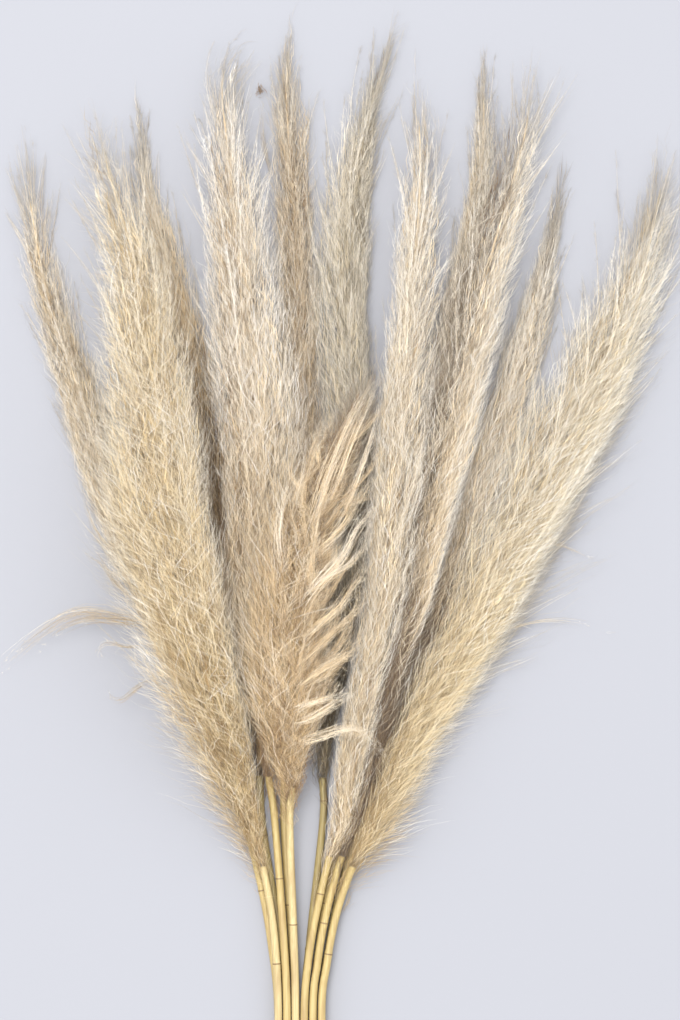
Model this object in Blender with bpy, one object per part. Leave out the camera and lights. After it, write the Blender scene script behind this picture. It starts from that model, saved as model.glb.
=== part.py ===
"""A loose bunch of twelve cut and dried pampas grass stalks, lying fanned out on a flat surface.

Metres, +Z up. The surface is z = 0. The cut stems point to -Y and the plumes spread to +Y. The origin is
on the surface, under the flat spot of the dense tan plume, about the middle of the bunch's length.
"""

import math
import random
from bisect import bisect_right

import bmesh
import bpy
from mathutils import Vector

MM = 0.001
TOUCH_GAP = 0.3 * MM

# A reed is round and thins from its cut end to the foot of the plume.
STEM_BUTT_RADIUS = 4.3 * MM
STEM_FOOT_RADIUS = 3.6 * MM
STEM_STEP = 60 * MM
STEM_LAST_STEP = 10 * MM

# A plume lies pressed: the wider it is, the flatter. Its height is this share of its width.
ROUNDEST = 0.85
FLATTER_PER_MM = 0.005

# The packed heart of a plume: its share of the plume's width, its rings, and the stretch where it narrows.
HEART_SHARE = 0.5
HEART_SIDES = 6
HEART_STEP = 90 * MM
HEART_TAPER = 110 * MM
HEART_TIP_RADIUS = 1.8 * MM

# A spray is one side branch with its silky hairs, a flat three-sided blade.
SPRAY_LENGTH = 92 * MM
SPRAY_LENGTH_PER_WIDTH = 1.5
SPRAY_HALF_WIDTH = 1.9 * MM
SPRAY_HALF_WIDTH_PER_WIDTH = 0.045
SPRAY_THICKNESS_SHARE = 0.6
SPRAY_ROOT_IN_HEART = 0.6
SPRAY_LENGTH_VARIES = (0.95, 1.05)
SPRAY_REACH = (0.92, 1.0)
SPRAY_TURN = math.radians(137.5)
CURL_FROM = 0.45
CURL_BACK = 0.9
CURL_TURN = math.radians(14)
FIRST_SPRAY_AFTER_FOOT = 14 * MM
LAST_SPRAY_BEFORE_TIP = 62 * MM
HEART_PAST_LAST_SPRAY = 12 * MM
LOOSE_STRAND_RADIUS = 1.5 * MM
ABOVE_SURFACE = 0.6 * MM

# Each stalk, from left to right. Rows are millimetres: x, y, z for the bare stem from its cut end, then
# x, y, z and half width for the plume from its foot to its tip. Strands are single branches that hang out.
STALKS = {
    "01_outer_left": {
        "stem": [
            (-26, -600, 4.3), (-21.5, -440, 4.2), (-29, -360, 4.2), (-40, -300, 4.2), (-55, -240, 4.4),
        ],
        "plume": [
            (-66, -205, 5, 6), (-90, -140, 5.5, 14), (-122, -70, 6, 18), (-150, -10, 6, 20),
            (-185, 70, 6, 22), (-205, 130, 6, 23), (-225, 200, 6, 23), (-245, 260, 6, 24),
            (-260, 320, 6, 23), (-270, 380, 6, 20), (-280, 432, 5, 11),
        ],
        "sprays": 62,
    },
    "02_broad_left": {
        "stem": [(-25, -618, 13.4), (-21.5, -440, 12.8), (-26, -350, 13)],
        "plume": [
            (-37, -285, 15, 6), (-48, -240, 23, 15), (-68, -160, 50, 32), (-92, -80, 74, 46),
            (-110, 0, 77, 50), (-130, 80, 64, 52), (-140, 160, 52, 50), (-152, 240, 43, 46),
            (-165, 320, 37, 38), (-188, 400, 30, 30), (-208, 472, 24, 12),
        ],
        "sprays": 114,
        "strands": [
            [
                (-104, -66, 76), (-142, -50, 66), (-180, -38, 58), (-220, -31, 46),
                (-262, -52, 30), (-299, -86, 12),
            ],
        ],
    },
    "03_thin_brown": {
        "stem": [
            (-16, -632, 4.3), (-12.9, -440, 4.2), (-19, -360, 4.2), (-29, -300, 4.2), (-38, -240, 4.2),
        ],
        "plume": [
            (-40, -195, 4.2, 5), (-42, -140, 4.4, 9), (-60, -60, 4.4, 12), (-78, 40, 4.4, 13),
            (-95, 140, 4.4, 13), (-110, 230, 4.4, 13), (-135, 320, 4.4, 13), (-155, 400, 4.4, 10),
            (-160, 464, 4.4, 5),
        ],
        "sprays": 40,
    },
    "04_arched_cream": {
        "stem": [(-15, -590, 13.4), (-12.9, -440, 12.8), (-16, -360, 13), (-25, -240, 17)],
        "plume": [
            (-31, -195, 22, 6), (-36, -120, 33, 27), (-50, -20, 38, 38), (-43, 80, 36, 43),
            (-46, 180, 34, 44), (-55, 240, 30, 44), (-62, 330, 26, 43), (-72, 430, 20, 33),
            (-78, 490, 16, 20), (-71, 520, 13, 12), (-59, 536, 11, 8), (-42, 534, 10, 5),
        ],
        "sprays": 106,
    },
    "05_dense_tan": {
        "stem": [(-6, -610, 4.3), (-4.3, -440, 4.2), (-8, -360, 4.2), (-16, -240, 4.2)],
        "plume": [
            (-13, -165, 4.5, 6), (-8, -110, 5.5, 12), (-3, -50, 5.5, 17), (0, 0, 5.5, 19),
            (4, 60, 5.5, 19), (5, 120, 5.5, 19), (0, 230, 5.5, 18), (-4, 340, 5.5, 17),
            (-8, 400, 6, 20), (-12, 450, 7, 21), (-14, 505, 6, 12), (-10, 554, 5, 5),
        ],
        "sprays": 60,
        "strands": [[(-16, 430, 10), (-30, 464, 10), (-40, 492, 12)]],
    },
    "06_curly_front": {
        "stem": [(-5, -628, 13.4), (-4.3, -440, 12.8), (-6, -360, 14), (-10, -240, 26)],
        "plume": [
            (-7, -205, 36, 6), (-5, -160, 55, 24), (-2, -120, 68, 38), (3, -20, 77, 46),
            (18, 70, 71, 43), (45, 140, 56, 28), (75, 204, 45, 9),
        ],
        "sprays": 60,
        "curl": True,
        "strands": [
            [(0, -150, 66), (30, -134, 70), (58, -140, 66), (78, -160, 60), (84, -178, 54)],
        ],
    },
    "07_grey_green": {
        "stem": [(6, -640, 4.3), (4.3, -440, 4.2), (10, -360, 4.2), (23, -240, 4.4)],
        "plume": [
            (23, -197, 5, 6), (27, -150, 6, 13), (33, -100, 7, 19), (40, -60, 7, 23),
            (58, 40, 8, 25), (60, 140, 8, 26), (50, 250, 8, 29), (52, 330, 8, 31),
            (62, 430, 7, 22), (84, 515, 6, 14), (98, 562, 5, 5),
        ],
        "sprays": 78,
    },
    "08_tall_cream": {
        "stem": [(7, -604, 13.4), (4.3, -440, 12.8), (8.5, -380, 12.8), (17, -330, 13)],
        "plume": [
            (30, -275, 15, 6), (43, -240, 20, 10), (50, -180, 28, 13), (65, -100, 38, 15),
            (80, -20, 47, 20), (91, 80, 48, 24), (100, 180, 41, 25), (110, 280, 29, 26),
            (118, 360, 20, 29), (120, 430, 16, 26), (115, 508, 12, 9),
        ],
        "sprays": 86,
    },
    "09_thin_pale": {
        "stem": [(17, -596, 4.3), (12.9, -440, 4.2), (20, -360, 4.2), (31, -300, 4.2), (44, -240, 4.2)],
        "plume": [
            (62, -180, 4.2, 5), (78, -100, 4.4, 9), (97, -20, 4.4, 12), (122, 80, 4.4, 12),
            (139, 180, 4.4, 12), (152, 250, 4.4, 12), (167, 330, 4.4, 13), (179, 390, 4.4, 13),
            (183, 440, 4.4, 11), (184, 536, 4.4, 5),
        ],
        "sprays": 44,
    },
    "10_pink_beige": {
        "stem": [(18, -636, 13.4), (13, -440, 12.8), (18, -380, 12.8), (27, -330, 13)],
        "plume": [
            (42, -275, 14.5, 6), (56, -240, 16, 9), (71, -180, 20, 12), (89, -100, 26, 13),
            (112, -20, 30, 20), (130, 60, 32, 25), (147, 130, 33, 29), (163, 200, 32, 31),
            (180, 280, 31, 33), (195, 340, 27, 31), (213, 400, 22, 30), (227, 460, 18, 22),
            (232, 522, 14, 10),
        ],
        "sprays": 98,
    },
    "11_thin_taupe": {
        "stem": [(29, -625, 4.3), (21.5, -440, 4.2), (30, -360, 4.2), (43, -300, 4.2), (62, -240, 4.2)],
        "plume": [
            (74, -200, 4.8, 6), (90, -140, 5, 10), (112, -80, 5, 12), (135, -30, 5.5, 14),
            (153, 20, 5.5, 15), (169, 75, 6, 18), (187, 130, 6.5, 20), (206, 180, 6, 18),
            (221, 225, 6, 17), (233, 265, 5.5, 14), (243, 305, 5, 12), (253, 350, 4.5, 7),
            (260, 392, 4, 3),
        ],
        "sprays": 52,
    },
    "12_broad_right": {
        "stem": [(29, -612, 13.4), (21.7, -440, 12.8), (27.5, -380, 13), (37.5, -330, 14)],
        "plume": [
            (53, -285, 19, 6), (74, -240, 30, 12), (90, -205, 28, 16), (115, -155, 24, 21),
            (143, -108, 18, 27), (180, -45, 11, 33), (212, 15, 11, 40), (245, 75, 12, 46),
            (270, 130, 12, 50), (294, 180, 12, 49), (317, 235, 12, 44), (336, 290, 11, 38),
            (350, 340, 9, 31), (360, 390, 7, 22), (368, 442, 6, 9),
        ],
        "sprays": 108,
        "strands": [
            [(246, 40, 12), (290, 76, 15), (320, 108, 13), (345, 138, 8)],
            [(186, -48, 11), (222, -36, 14), (260, -36, 12), (300, -45, 6)],
            [(315, 230, 12), (346, 268, 14), (374, 300, 12), (400, 326, 7)],
            [(338, 298, 11), (362, 338, 13), (386, 384, 11), (404, 432, 7)],
        ],
    },
}

STEM_ROUGHNESS = 0.5
PLUME_ROUGHNESS = 0.85
STEM_COLOUR = (0.62, 0.47, 0.22, 1.0)
PLUME_COLOURS = {
    "01_outer_left": (0.52, 0.43, 0.31, 1.0),
    "02_broad_left": (0.66, 0.52, 0.33, 1.0),
    "03_thin_brown": (0.27, 0.19, 0.12, 1.0),
    "04_arched_cream": (0.72, 0.58, 0.42, 1.0),
    "05_dense_tan": (0.40, 0.30, 0.20, 1.0),
    "06_curly_front": (0.68, 0.53, 0.35, 1.0),
    "07_grey_green": (0.37, 0.32, 0.22, 1.0),
    "08_tall_cream": (0.75, 0.64, 0.48, 1.0),
    "09_thin_pale": (0.62, 0.52, 0.40, 1.0),
    "10_pink_beige": (0.60, 0.47, 0.34, 1.0),
    "11_thin_taupe": (0.32, 0.26, 0.18, 1.0),
    "12_broad_right": (0.72, 0.59, 0.38, 1.0),
}


def clear_scene():
    for obj in list(bpy.data.objects):
        bpy.data.objects.remove(obj, do_unlink=True)


def collection(name):
    """A new collection in the scene."""
    made = bpy.data.collections.new(name)
    bpy.context.scene.collection.children.link(made)
    return made


def matte(name, colour, roughness):
    material = bpy.data.materials.new(name)
    material.use_nodes = True
    shader = material.node_tree.nodes["Principled BSDF"]
    shader.inputs["Base Color"].default_value = colour
    shader.inputs["Roughness"].default_value = roughness
    shader.inputs["Metallic"].default_value = 0.0
    return material


def curved(rows, steps=16):
    """Points of a smooth curve through the rows, which may hold a width after x, y and z."""
    rows = [Vector(row) for row in rows]
    ends = [2 * rows[0] - rows[1]] + rows + [2 * rows[-1] - rows[-2]]
    points = []
    for a, b, c, d in zip(ends, ends[1:], ends[2:], ends[3:]):
        for step in range(steps):
            t = step / steps
            bend = (2 * a - 5 * b + 4 * c - d) * t * t + (3 * b - a - 3 * c + d) * t**3
            points.append(b + ((c - a) * t + bend) / 2)
    return points + [rows[-1]]


class Stalk:
    """The line of one stalk, from the cut end of its stem to the tip of its plume."""

    def __init__(self, stem, plume):
        bare = [(*row, 0.0) for row in stem]
        self.points = [point * MM for point in curved(bare + plume)]
        self.reached = [0.0]
        for a, b in zip(self.points, self.points[1:]):
            self.reached.append(self.reached[-1] + (b.xyz - a.xyz).length)
        self.length = self.reached[-1]
        foot = min(self.points, key=lambda p: (p.xyz - Vector(plume[0][:3]) * MM).length)
        self.foot = self.reached[self.points.index(foot)]
        self.heart_end = self.length - LAST_SPRAY_BEFORE_TIP + HEART_PAST_LAST_SPRAY

    def at(self, distance):
        """The centre, the direction and the half width this far from the cut end."""
        distance = min(max(distance, 0.0), self.length)
        i = min(bisect_right(self.reached, distance), len(self.points) - 1)
        a, b = self.points[i - 1], self.points[i]
        share = (distance - self.reached[i - 1]) / (self.reached[i] - self.reached[i - 1])
        point = a.lerp(b, share)
        return point.xyz, (b.xyz - a.xyz).normalized(), point.w

    def heart_share(self, distance):
        """The heart's share of the plume's width this far from the cut end."""
        _, _, half_width = self.at(distance)
        narrowing = max(min((self.heart_end - distance) / HEART_TAPER, 1.0), 0.0)
        least = STEM_FOOT_RADIUS if distance < self.heart_end - HEART_TAPER else HEART_TIP_RADIUS
        return max(HEART_SHARE * narrowing, least / half_width)

    def place(self, distance, angle, share, lowest):
        """The point at this angle round the line and this share of the way to the plume's skin.

        Angle 0 is to the side and a right angle is up. The skin's lower side is pressed up to lowest.
        """
        centre, ahead, half_width = self.at(distance)
        side = ahead.cross(Vector((0, 0, 1))).normalized()
        up = side.cross(ahead)
        height = half_width * (ROUNDEST - FLATTER_PER_MM * half_width / MM)
        if math.sin(angle) < 0:
            height = min(height, centre.z - lowest)
        return centre + share * (half_width * math.cos(angle) * side + height * math.sin(angle) * up)


def tube_mesh(name, rings, tip=None):
    """A closed skin over rings of points, drawn together to a point at the end if a tip is given."""
    mesh = bmesh.new()
    rows = [[mesh.verts.new(point) for point in ring] for ring in rings]
    count = len(rows[0])
    for row, following in zip(rows, rows[1:]):
        for i in range(count):
            j = (i + 1) % count
            mesh.faces.new((row[i], row[j], following[j], following[i]))
    mesh.faces.new(list(reversed(rows[0])))
    if tip is None:
        mesh.faces.new(rows[-1])
    else:
        end = mesh.verts.new(tip)
        for i in range(count):
            mesh.faces.new((rows[-1][i], rows[-1][(i + 1) % count], end))
    bmesh.ops.triangulate(mesh, faces=mesh.faces[:])
    bmesh.ops.recalc_face_normals(mesh, faces=mesh.faces[:])
    data = bpy.data.meshes.new(name)
    mesh.to_mesh(data)
    mesh.free()
    return data


def stem(name, stalk, material, parts):
    """A round reed from its cut end to just short of the foot of the plume."""
    end = stalk.foot - TOUCH_GAP
    count = round(end / STEM_STEP)
    stops = [(end - STEM_LAST_STEP) * i / count for i in range(count + 1)] + [end]
    curve = bpy.data.curves.new(name, "CURVE")
    curve.dimensions = "3D"
    curve.bevel_depth = 1.0
    curve.bevel_resolution = 2
    curve.use_fill_caps = True
    reed = curve.splines.new("POLY")
    reed.points.add(len(stops) - 1)
    for point, distance in zip(reed.points, stops):
        centre, _, _ = stalk.at(distance)
        point.co = (*centre, 1.0)
        point.radius = STEM_BUTT_RADIUS + distance / end * (STEM_FOOT_RADIUS - STEM_BUTT_RADIUS)
    curve.materials.append(material)
    obj = bpy.data.objects.new(name, curve)
    parts.objects.link(obj)
    return obj


def heart_mesh(name, stalk):
    """The packed middle of a plume: rings round its line, flat where they meet the surface."""
    span = stalk.heart_end - HEART_TAPER - stalk.foot
    count = round(span / HEART_STEP)
    stops = [stalk.foot + span * i / count for i in range(count + 1)] + [stalk.heart_end]
    rings = []
    for distance in stops:
        share = stalk.heart_share(distance)
        ring = []
        for side in range(HEART_SIDES):
            point = stalk.place(distance, 2 * math.pi * side / HEART_SIDES, share, -math.inf)
            ring.append((point.x, point.y, max(point.z, 0.0)))
        rings.append(ring)
    return tube_mesh(name, rings)


def blade_mesh(points, half_widths, faces_out):
    """A three-sided blade along the points. Its ridge faces the given way at each point."""
    rings = []
    for i, point in enumerate(points[:-1]):
        ahead = (points[i + 1] - points[max(i - 1, 0)]).normalized()
        across = ahead.cross(faces_out[i]).normalized()
        ridge = across.cross(ahead)
        half = half_widths[i]
        rings.append([
            point + across * half,
            point - across * half,
            point + ridge * half * SPRAY_THICKNESS_SHARE,
        ])
    for ring in rings:
        for corner in ring:
            corner.z = max(corner.z, ABOVE_SURFACE / 2)
    return tube_mesh("spray", rings, tip=points[-1])


def spray_meshes(stalk, count, curled, chance):
    """The sprays of a plume, placed by the golden angle so that they stand even on all sides.

    They run straight out towards the tip. Curled ones bend out at first and then back round the plume.
    """
    blades = []
    first = stalk.foot + FIRST_SPRAY_AFTER_FOOT
    last = stalk.length - LAST_SPRAY_BEFORE_TIP
    for k in range(count):
        start = first + (last - first) * k / count
        angle = k * SPRAY_TURN
        _, _, half_width = stalk.at(start)
        length = SPRAY_LENGTH + SPRAY_LENGTH_PER_WIDTH * half_width
        length = min(length * chance.uniform(*SPRAY_LENGTH_VARIES), stalk.length - start)
        half = SPRAY_HALF_WIDTH + SPRAY_HALF_WIDTH_PER_WIDTH * half_width
        reach = chance.uniform(*SPRAY_REACH)
        route = [(0.0, SPRAY_ROOT_IN_HEART * stalk.heart_share(start), 0.0), (1.0, reach, 0.0)]
        if curled:
            route = [route[0], (CURL_FROM, reach, 0.0), (1.0, CURL_BACK * reach, CURL_TURN)]
        points = []
        out = []
        for along, share, turn in route:
            distance = start + length * along
            point = stalk.place(distance, angle + turn, share, ABOVE_SURFACE)
            points.append(point)
            out.append((point - stalk.at(distance)[0]).normalized())
        blades.append(blade_mesh(points, [half] * (len(points) - 1), out))
    return blades


def strand_mesh(rows):
    """A single thin branch that hangs out of the plume, three-sided and drawn to a point."""
    points = [point * MM for point in curved(rows, steps=2)]
    thickness = [LOOSE_STRAND_RADIUS] * (len(points) - 1)
    return blade_mesh(points, thickness, [Vector((0, 0, 1))] * len(points))


def outer_skin_only(data):
    """Keeps a mesh's largest connected skin, so that sealed hollows are filled and scraps dropped."""
    mesh = bmesh.new()
    mesh.from_mesh(data)
    waiting = set(mesh.faces)
    skins = []
    while waiting:
        skin = set()
        edge = [waiting.pop()]
        while edge:
            face = edge.pop()
            skin.add(face)
            near = {other for line in face.edges for other in line.link_faces} & waiting
            waiting -= near
            edge.extend(near)
        skins.append(skin)
    largest = max(skins, key=len)
    spare = [face for skin in skins if skin is not largest for face in skin]
    bmesh.ops.delete(mesh, geom=spare, context="FACES")
    mesh.to_mesh(data)
    mesh.free()


def plume(name, stalk, row, material, parts, helpers):
    """The heart with its sprays and loose strands, joined into one solid."""
    chance = random.Random(name)
    obj = bpy.data.objects.new(name, heart_mesh(name, stalk))
    obj.data.materials.append(material)
    parts.objects.link(obj)
    blades = spray_meshes(stalk, row["sprays"], "curl" in row, chance)
    blades += [strand_mesh(rows) for rows in row.get("strands", [])]
    for blade in blades:
        helper = bpy.data.objects.new("spray", blade)
        helper.hide_render = True
        helper.display_type = "WIRE"
        helpers.objects.link(helper)
    join = obj.modifiers.new("join sprays", "BOOLEAN")
    join.operation = "UNION"
    join.operand_type = "COLLECTION"
    join.collection = helpers
    join.solver = "MANIFOLD"
    graph = bpy.context.evaluated_depsgraph_get()
    joined = bpy.data.meshes.new_from_object(obj.evaluated_get(graph))
    obj.modifiers.clear()
    obj.data = joined
    joined.name = name
    outer_skin_only(joined)
    for helper in list(helpers.objects):
        bpy.data.objects.remove(helper, do_unlink=True)
    return obj


def build():
    clear_scene()
    parts = collection("pampas_grass_bundle")
    helpers = collection("sprays_to_join")
    helpers.hide_render = True
    reed = matte("straw_stem", STEM_COLOUR, STEM_ROUGHNESS)
    for name, row in STALKS.items():
        stalk = Stalk(row["stem"], row["plume"])
        stem(f"stem_{name}", stalk, reed, parts)
        fluff = matte(f"plume_{name}", PLUME_COLOURS[name], PLUME_ROUGHNESS)
        plume(f"plume_{name}", stalk, row, fluff, parts, helpers)


build()
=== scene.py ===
"""A loose bunch of twelve cut and dried pampas grass stalks on a pale surface, seen from above."""

import math

import bpy
import numpy as np
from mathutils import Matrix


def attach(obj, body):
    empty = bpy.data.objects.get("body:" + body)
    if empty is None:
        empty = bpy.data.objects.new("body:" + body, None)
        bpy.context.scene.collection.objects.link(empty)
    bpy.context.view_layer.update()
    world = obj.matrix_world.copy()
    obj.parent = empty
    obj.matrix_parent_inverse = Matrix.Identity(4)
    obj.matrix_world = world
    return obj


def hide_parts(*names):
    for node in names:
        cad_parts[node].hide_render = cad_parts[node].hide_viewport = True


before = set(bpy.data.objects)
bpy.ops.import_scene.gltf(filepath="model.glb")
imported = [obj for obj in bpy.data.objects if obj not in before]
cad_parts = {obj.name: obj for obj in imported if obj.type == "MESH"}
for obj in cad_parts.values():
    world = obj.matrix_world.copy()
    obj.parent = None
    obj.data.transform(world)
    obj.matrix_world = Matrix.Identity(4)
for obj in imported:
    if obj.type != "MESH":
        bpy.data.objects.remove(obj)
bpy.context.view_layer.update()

# The surface and the camera
# The bunch lies on a plain, pale, matt surface. The camera looks straight down on it from far above, so
# that the plumes spread over the picture as they do in the photograph, a millimetre to a pixel.
MM = 0.001
PICTURE_HEIGHT = 1020 * MM
PICTURE_CENTRE = (40 * MM, 70 * MM)
CAMERA_HEIGHT = 5.5
SENSOR = 36.0
SURFACE_SIZE = 60.0
SURFACE_COLOUR = (0.314, 0.320, 0.350, 1.0)
SURFACE_ROUGHNESS = 0.9

bpy.ops.mesh.primitive_plane_add(size=SURFACE_SIZE)
surface = bpy.context.object
surface.name = "surface"
paint = bpy.data.materials.new("pale_surface")
paint.use_nodes = True
paint.node_tree.nodes["Principled BSDF"].inputs["Base Color"].default_value = SURFACE_COLOUR
paint.node_tree.nodes["Principled BSDF"].inputs["Roughness"].default_value = SURFACE_ROUGHNESS
surface.data.materials.append(paint)

camera = bpy.data.objects.new("camera", bpy.data.cameras.new("camera"))
camera.data.sensor_width = SENSOR
camera.data.lens = SENSOR * CAMERA_HEIGHT / PICTURE_HEIGHT
camera.data.clip_end = 4 * CAMERA_HEIGHT
camera.location = (*PICTURE_CENTRE, CAMERA_HEIGHT)
bpy.context.scene.collection.objects.link(camera)
bpy.context.scene.camera = camera

# The light
# Soft, bright daylight from beside the camera, a little to the upper left, in a pale room.
WINDOW_AT = (-1.0, 0.8, 5.6)
WINDOW_SIZE = 3.0
WINDOW_POWER = 330.0
WINDOW_COLOUR = (1.0, 0.985, 0.96)
ROOM_COLOUR = (0.98, 0.985, 1.0, 1.0)
ROOM_STRENGTH = 1.43

light = bpy.data.lights.new("window", "AREA")
light.size = WINDOW_SIZE
light.energy = WINDOW_POWER
light.color = WINDOW_COLOUR
window = bpy.data.objects.new("window", light)
window.location = WINDOW_AT
window.rotation_euler = (-window.location).to_track_quat("-Z", "Y").to_euler()
window.visible_camera = False
bpy.context.scene.collection.objects.link(window)
room = bpy.data.worlds.new("room")
room.use_nodes = True
room.node_tree.nodes["Background"].inputs["Color"].default_value = ROOM_COLOUR
room.node_tree.nodes["Background"].inputs["Strength"].default_value = ROOM_STRENGTH
bpy.context.scene.world = room
bpy.context.scene.view_settings.view_transform = "Standard"

# Stalk 01, outer left
# A cut reed with the open, grey beige plume that grew on it, behind its golden neighbour. The reed runs on
# through the plume. Side branches leave it on all sides, and each carries small tufts of silky hairs.
UP = np.array([0.0, 0.0, 1.0])
FULL_TURN = 2 * math.pi
PAST_THE_TIP = 150 * MM
SLOW_WAVE = 33 * MM
QUICK_WAVE = 15 * MM
SLOW_SWELL = 0.1
QUICK_SWELL = 0.08
THINNING = 1.7
ROUNDEST = 0.85
FLATTER_PER_MM = 0.005
MOST_UPWARD = 1.05
LOWEST_HAIR = 0.5 * MM
OPEN_EDGE = (0.66, 1.16)
OPEN_TIP = (0.82, 1.12)


def unit(vectors):
    """The vectors at length one."""
    return vectors / np.maximum(np.linalg.norm(vectors, axis=-1, keepdims=True), 1e-12)


def beside(ahead, nudge=0.0):
    """The level direction to the right of a line, and the one upward from it. A nudge serves a line that
    may stand upright."""
    right = unit(np.cross(ahead, UP) + nudge)
    return right, np.cross(right, ahead)


def towards(angle, right, up):
    """The directions at these angles round a line."""
    return np.cos(angle)[..., None] * right + np.sin(angle)[..., None] * up


def smooth_line(rows, steps=16):
    """Points of a smooth curve through the rows, which may hold a width after x, y and z."""
    rows = np.array(rows, float)
    ends = np.vstack([2 * rows[0] - rows[1], rows, 2 * rows[-1] - rows[-2]])
    t = (np.arange(steps) / steps)[:, None]
    points = []
    for a, b, c, d in zip(ends, ends[1:], ends[2:], ends[3:]):
        bend = (2 * a - 5 * b + 4 * c - d) * t**2 + (3 * b - a - 3 * c + d) * t**3
        points.append(b + ((c - a) * t + bend) / 2)
    return np.vstack([*points, rows[-1:]])


class Stalk:
    """The line of one stalk, from the cut end of its reed to the tip of its plume, in rows of x, y and z,
    with the plume's half width as a fourth value, in millimetres. Reach is how far its hairs stand out, in
    half widths. A bias of 0.4 makes the right side reach 40 percent further, and the left as much less
    far. The plume thins out over this last share of its length."""

    def __init__(self, number, name, stem, plume, thins_over, reach, bias=0.0):
        self.number = number
        self.name = f"{number:02d}_{name}"
        self.thins_over = thins_over
        self.reach = reach
        self.bias = bias
        line = smooth_line([(*row, 0.0) for row in stem] + plume) * MM
        beyond = line[-1:].copy()
        beyond[:, :3] += unit(line[-1:, :3] - line[-4:-3, :3]) * PAST_THE_TIP
        beyond[:, 2] = np.maximum(beyond[:, 2], line[-1, 2])
        self.points = np.vstack([line, beyond])
        steps = np.linalg.norm(np.diff(self.points[:, :3], axis=0), axis=1)
        self.reached = np.concatenate([[0.0], np.cumsum(steps)])
        self.length = self.reached[-2]
        away = np.linalg.norm(self.points[:, :3] - np.array(plume[0][:3]) * MM, axis=1)
        self.foot = self.reached[away.argmin()]
        self.ahead = unit(np.gradient(self.points[:, :3], self.reached, axis=0))
        self.widest = self.points[:, 3].max()

    def at(self, distance):
        """The centre, the direction and the half width this far from the cut end."""
        centre, ahead = (
            np.stack([np.interp(distance, self.reached, rows[:, i]) for i in range(3)], axis=-1)
            for rows in (self.points, self.ahead)
        )
        return centre, unit(ahead), np.interp(distance, self.reached, self.points[:, 3])

    def part(self, distance):
        """How far up the plume that is, from 0 at its foot to 1 at its tip."""
        return np.clip((distance - self.foot) / (self.length - self.foot), 0, 1)

    def blend(self, distance, values):
        """The value there, where the values are given at even steps from the plume's foot to its tip."""
        values = np.atleast_1d(values)
        return np.interp(self.part(distance), np.linspace(0, 1, len(values)), values)

    def swell(self, distance, angle):
        """How far the plume bulges or draws in there, about 1."""
        phase = 60 * self.foot / MM
        slow = np.sin(distance / SLOW_WAVE + 2 * np.cos(angle) + phase)
        quick = np.sin(distance / QUICK_WAVE - 3 * np.cos(angle) + 2 * phase)
        return 1 + SLOW_SWELL * slow + QUICK_SWELL * quick

    def thins(self, distance):
        """How much fluff the plume still has there, from 1 low down to nearly 0 at its tip."""
        return np.clip((1.02 - self.part(distance)) / self.thins_over, 0, 1) ** THINNING

    def lopsided(self, distance, angle):
        """How far the plume reaches to that side, about 1."""
        return 1 + self.blend(distance, self.bias) * np.cos(angle)

    def place(self, distance, angle, out):
        """The point this far along and this far out to the side, at this angle round the line."""
        centre, ahead, half_width = self.at(distance)
        right, up = beside(ahead)
        flatness = ROUNDEST - FLATTER_PER_MM * half_width / MM
        height = np.minimum(out, MOST_UPWARD * np.maximum(half_width, 6 * MM)) * flatness
        room_below = np.maximum(centre[..., 2] - LOWEST_HAIR, 0.0)
        height = np.where(np.sin(angle) < 0, np.minimum(height, room_below), height)
        return centre + (out * np.cos(angle))[..., None] * right + (height * np.sin(angle))[..., None] * up

    def openness(self, points, reach, bias):
        """How far each hair stands by itself, from 0 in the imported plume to 1 at its tip and its edges."""
        distance = np.interp(points[:, 1], np.maximum.accumulate(self.points[:, 1]), self.reached)
        centre, ahead, half_width = self.at(distance)
        to_right = ((points - centre) * beside(ahead)[0]).sum(axis=1)
        own_reach = reach * (1 + self.blend(distance, bias) * np.sign(to_right))
        how_far = np.abs(to_right) / (own_reach * np.maximum(half_width, 7 * MM))
        at_edge = (how_far - OPEN_EDGE[0]) / (OPEN_EDGE[1] - OPEN_EDGE[0])
        at_edge = at_edge * np.clip(4 * self.part(distance), 0.2, 1)
        at_tip = (self.part(distance) - OPEN_TIP[0]) / (OPEN_TIP[1] - OPEN_TIP[0])
        return np.clip(np.maximum(at_edge, at_tip), 0, 1)

    def nearest(self, x, y):
        """The distance along the stalk that is nearest to this place, as seen from above."""
        spots = np.linspace(self.foot, self.reached[-1], 600)
        centre = self.at(spots)[0]
        return spots[np.hypot(centre[:, 0] - x, centre[:, 1] - y).argmin()]


def surface_group(name, colours, outputs):
    """A new node group with these colours as inputs. Each output is named for the socket that it feeds."""
    group = bpy.data.node_groups.new(name, "ShaderNodeTree")
    for colour in colours:
        group.interface.new_socket(colour, in_out="INPUT", socket_type="NodeSocketColor")
    for output, kind in outputs:
        group.interface.new_socket(output, in_out="OUTPUT", socket_type=kind)
    return group, group.nodes.new("NodeGroupInput").outputs, group.nodes.new("NodeGroupOutput").inputs


def share(group, value, low, high, at_low=0.0, at_high=1.0):
    """How far a value is from its low mark to its high one, as a share or on another scale."""
    scale = group.nodes.new("ShaderNodeMapRange")
    for socket, mark in (("From Min", low), ("From Max", high), ("To Min", at_low), ("To Max", at_high)):
        scale.inputs[socket].default_value = mark
    group.links.new(value, scale.inputs["Value"])
    return scale.outputs["Result"]


def mixed(group, part, first, second, how="MIX"):
    """The colour that mixes two others by a share."""
    mix = group.nodes.new("ShaderNodeMix")
    mix.data_type = "RGBA"
    mix.blend_type = how
    for socket, value in (("Factor", part), ("A", first), ("B", second)):
        group.links.new(value, mix.inputs[socket])
    return mix.outputs["Result"]


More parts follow.
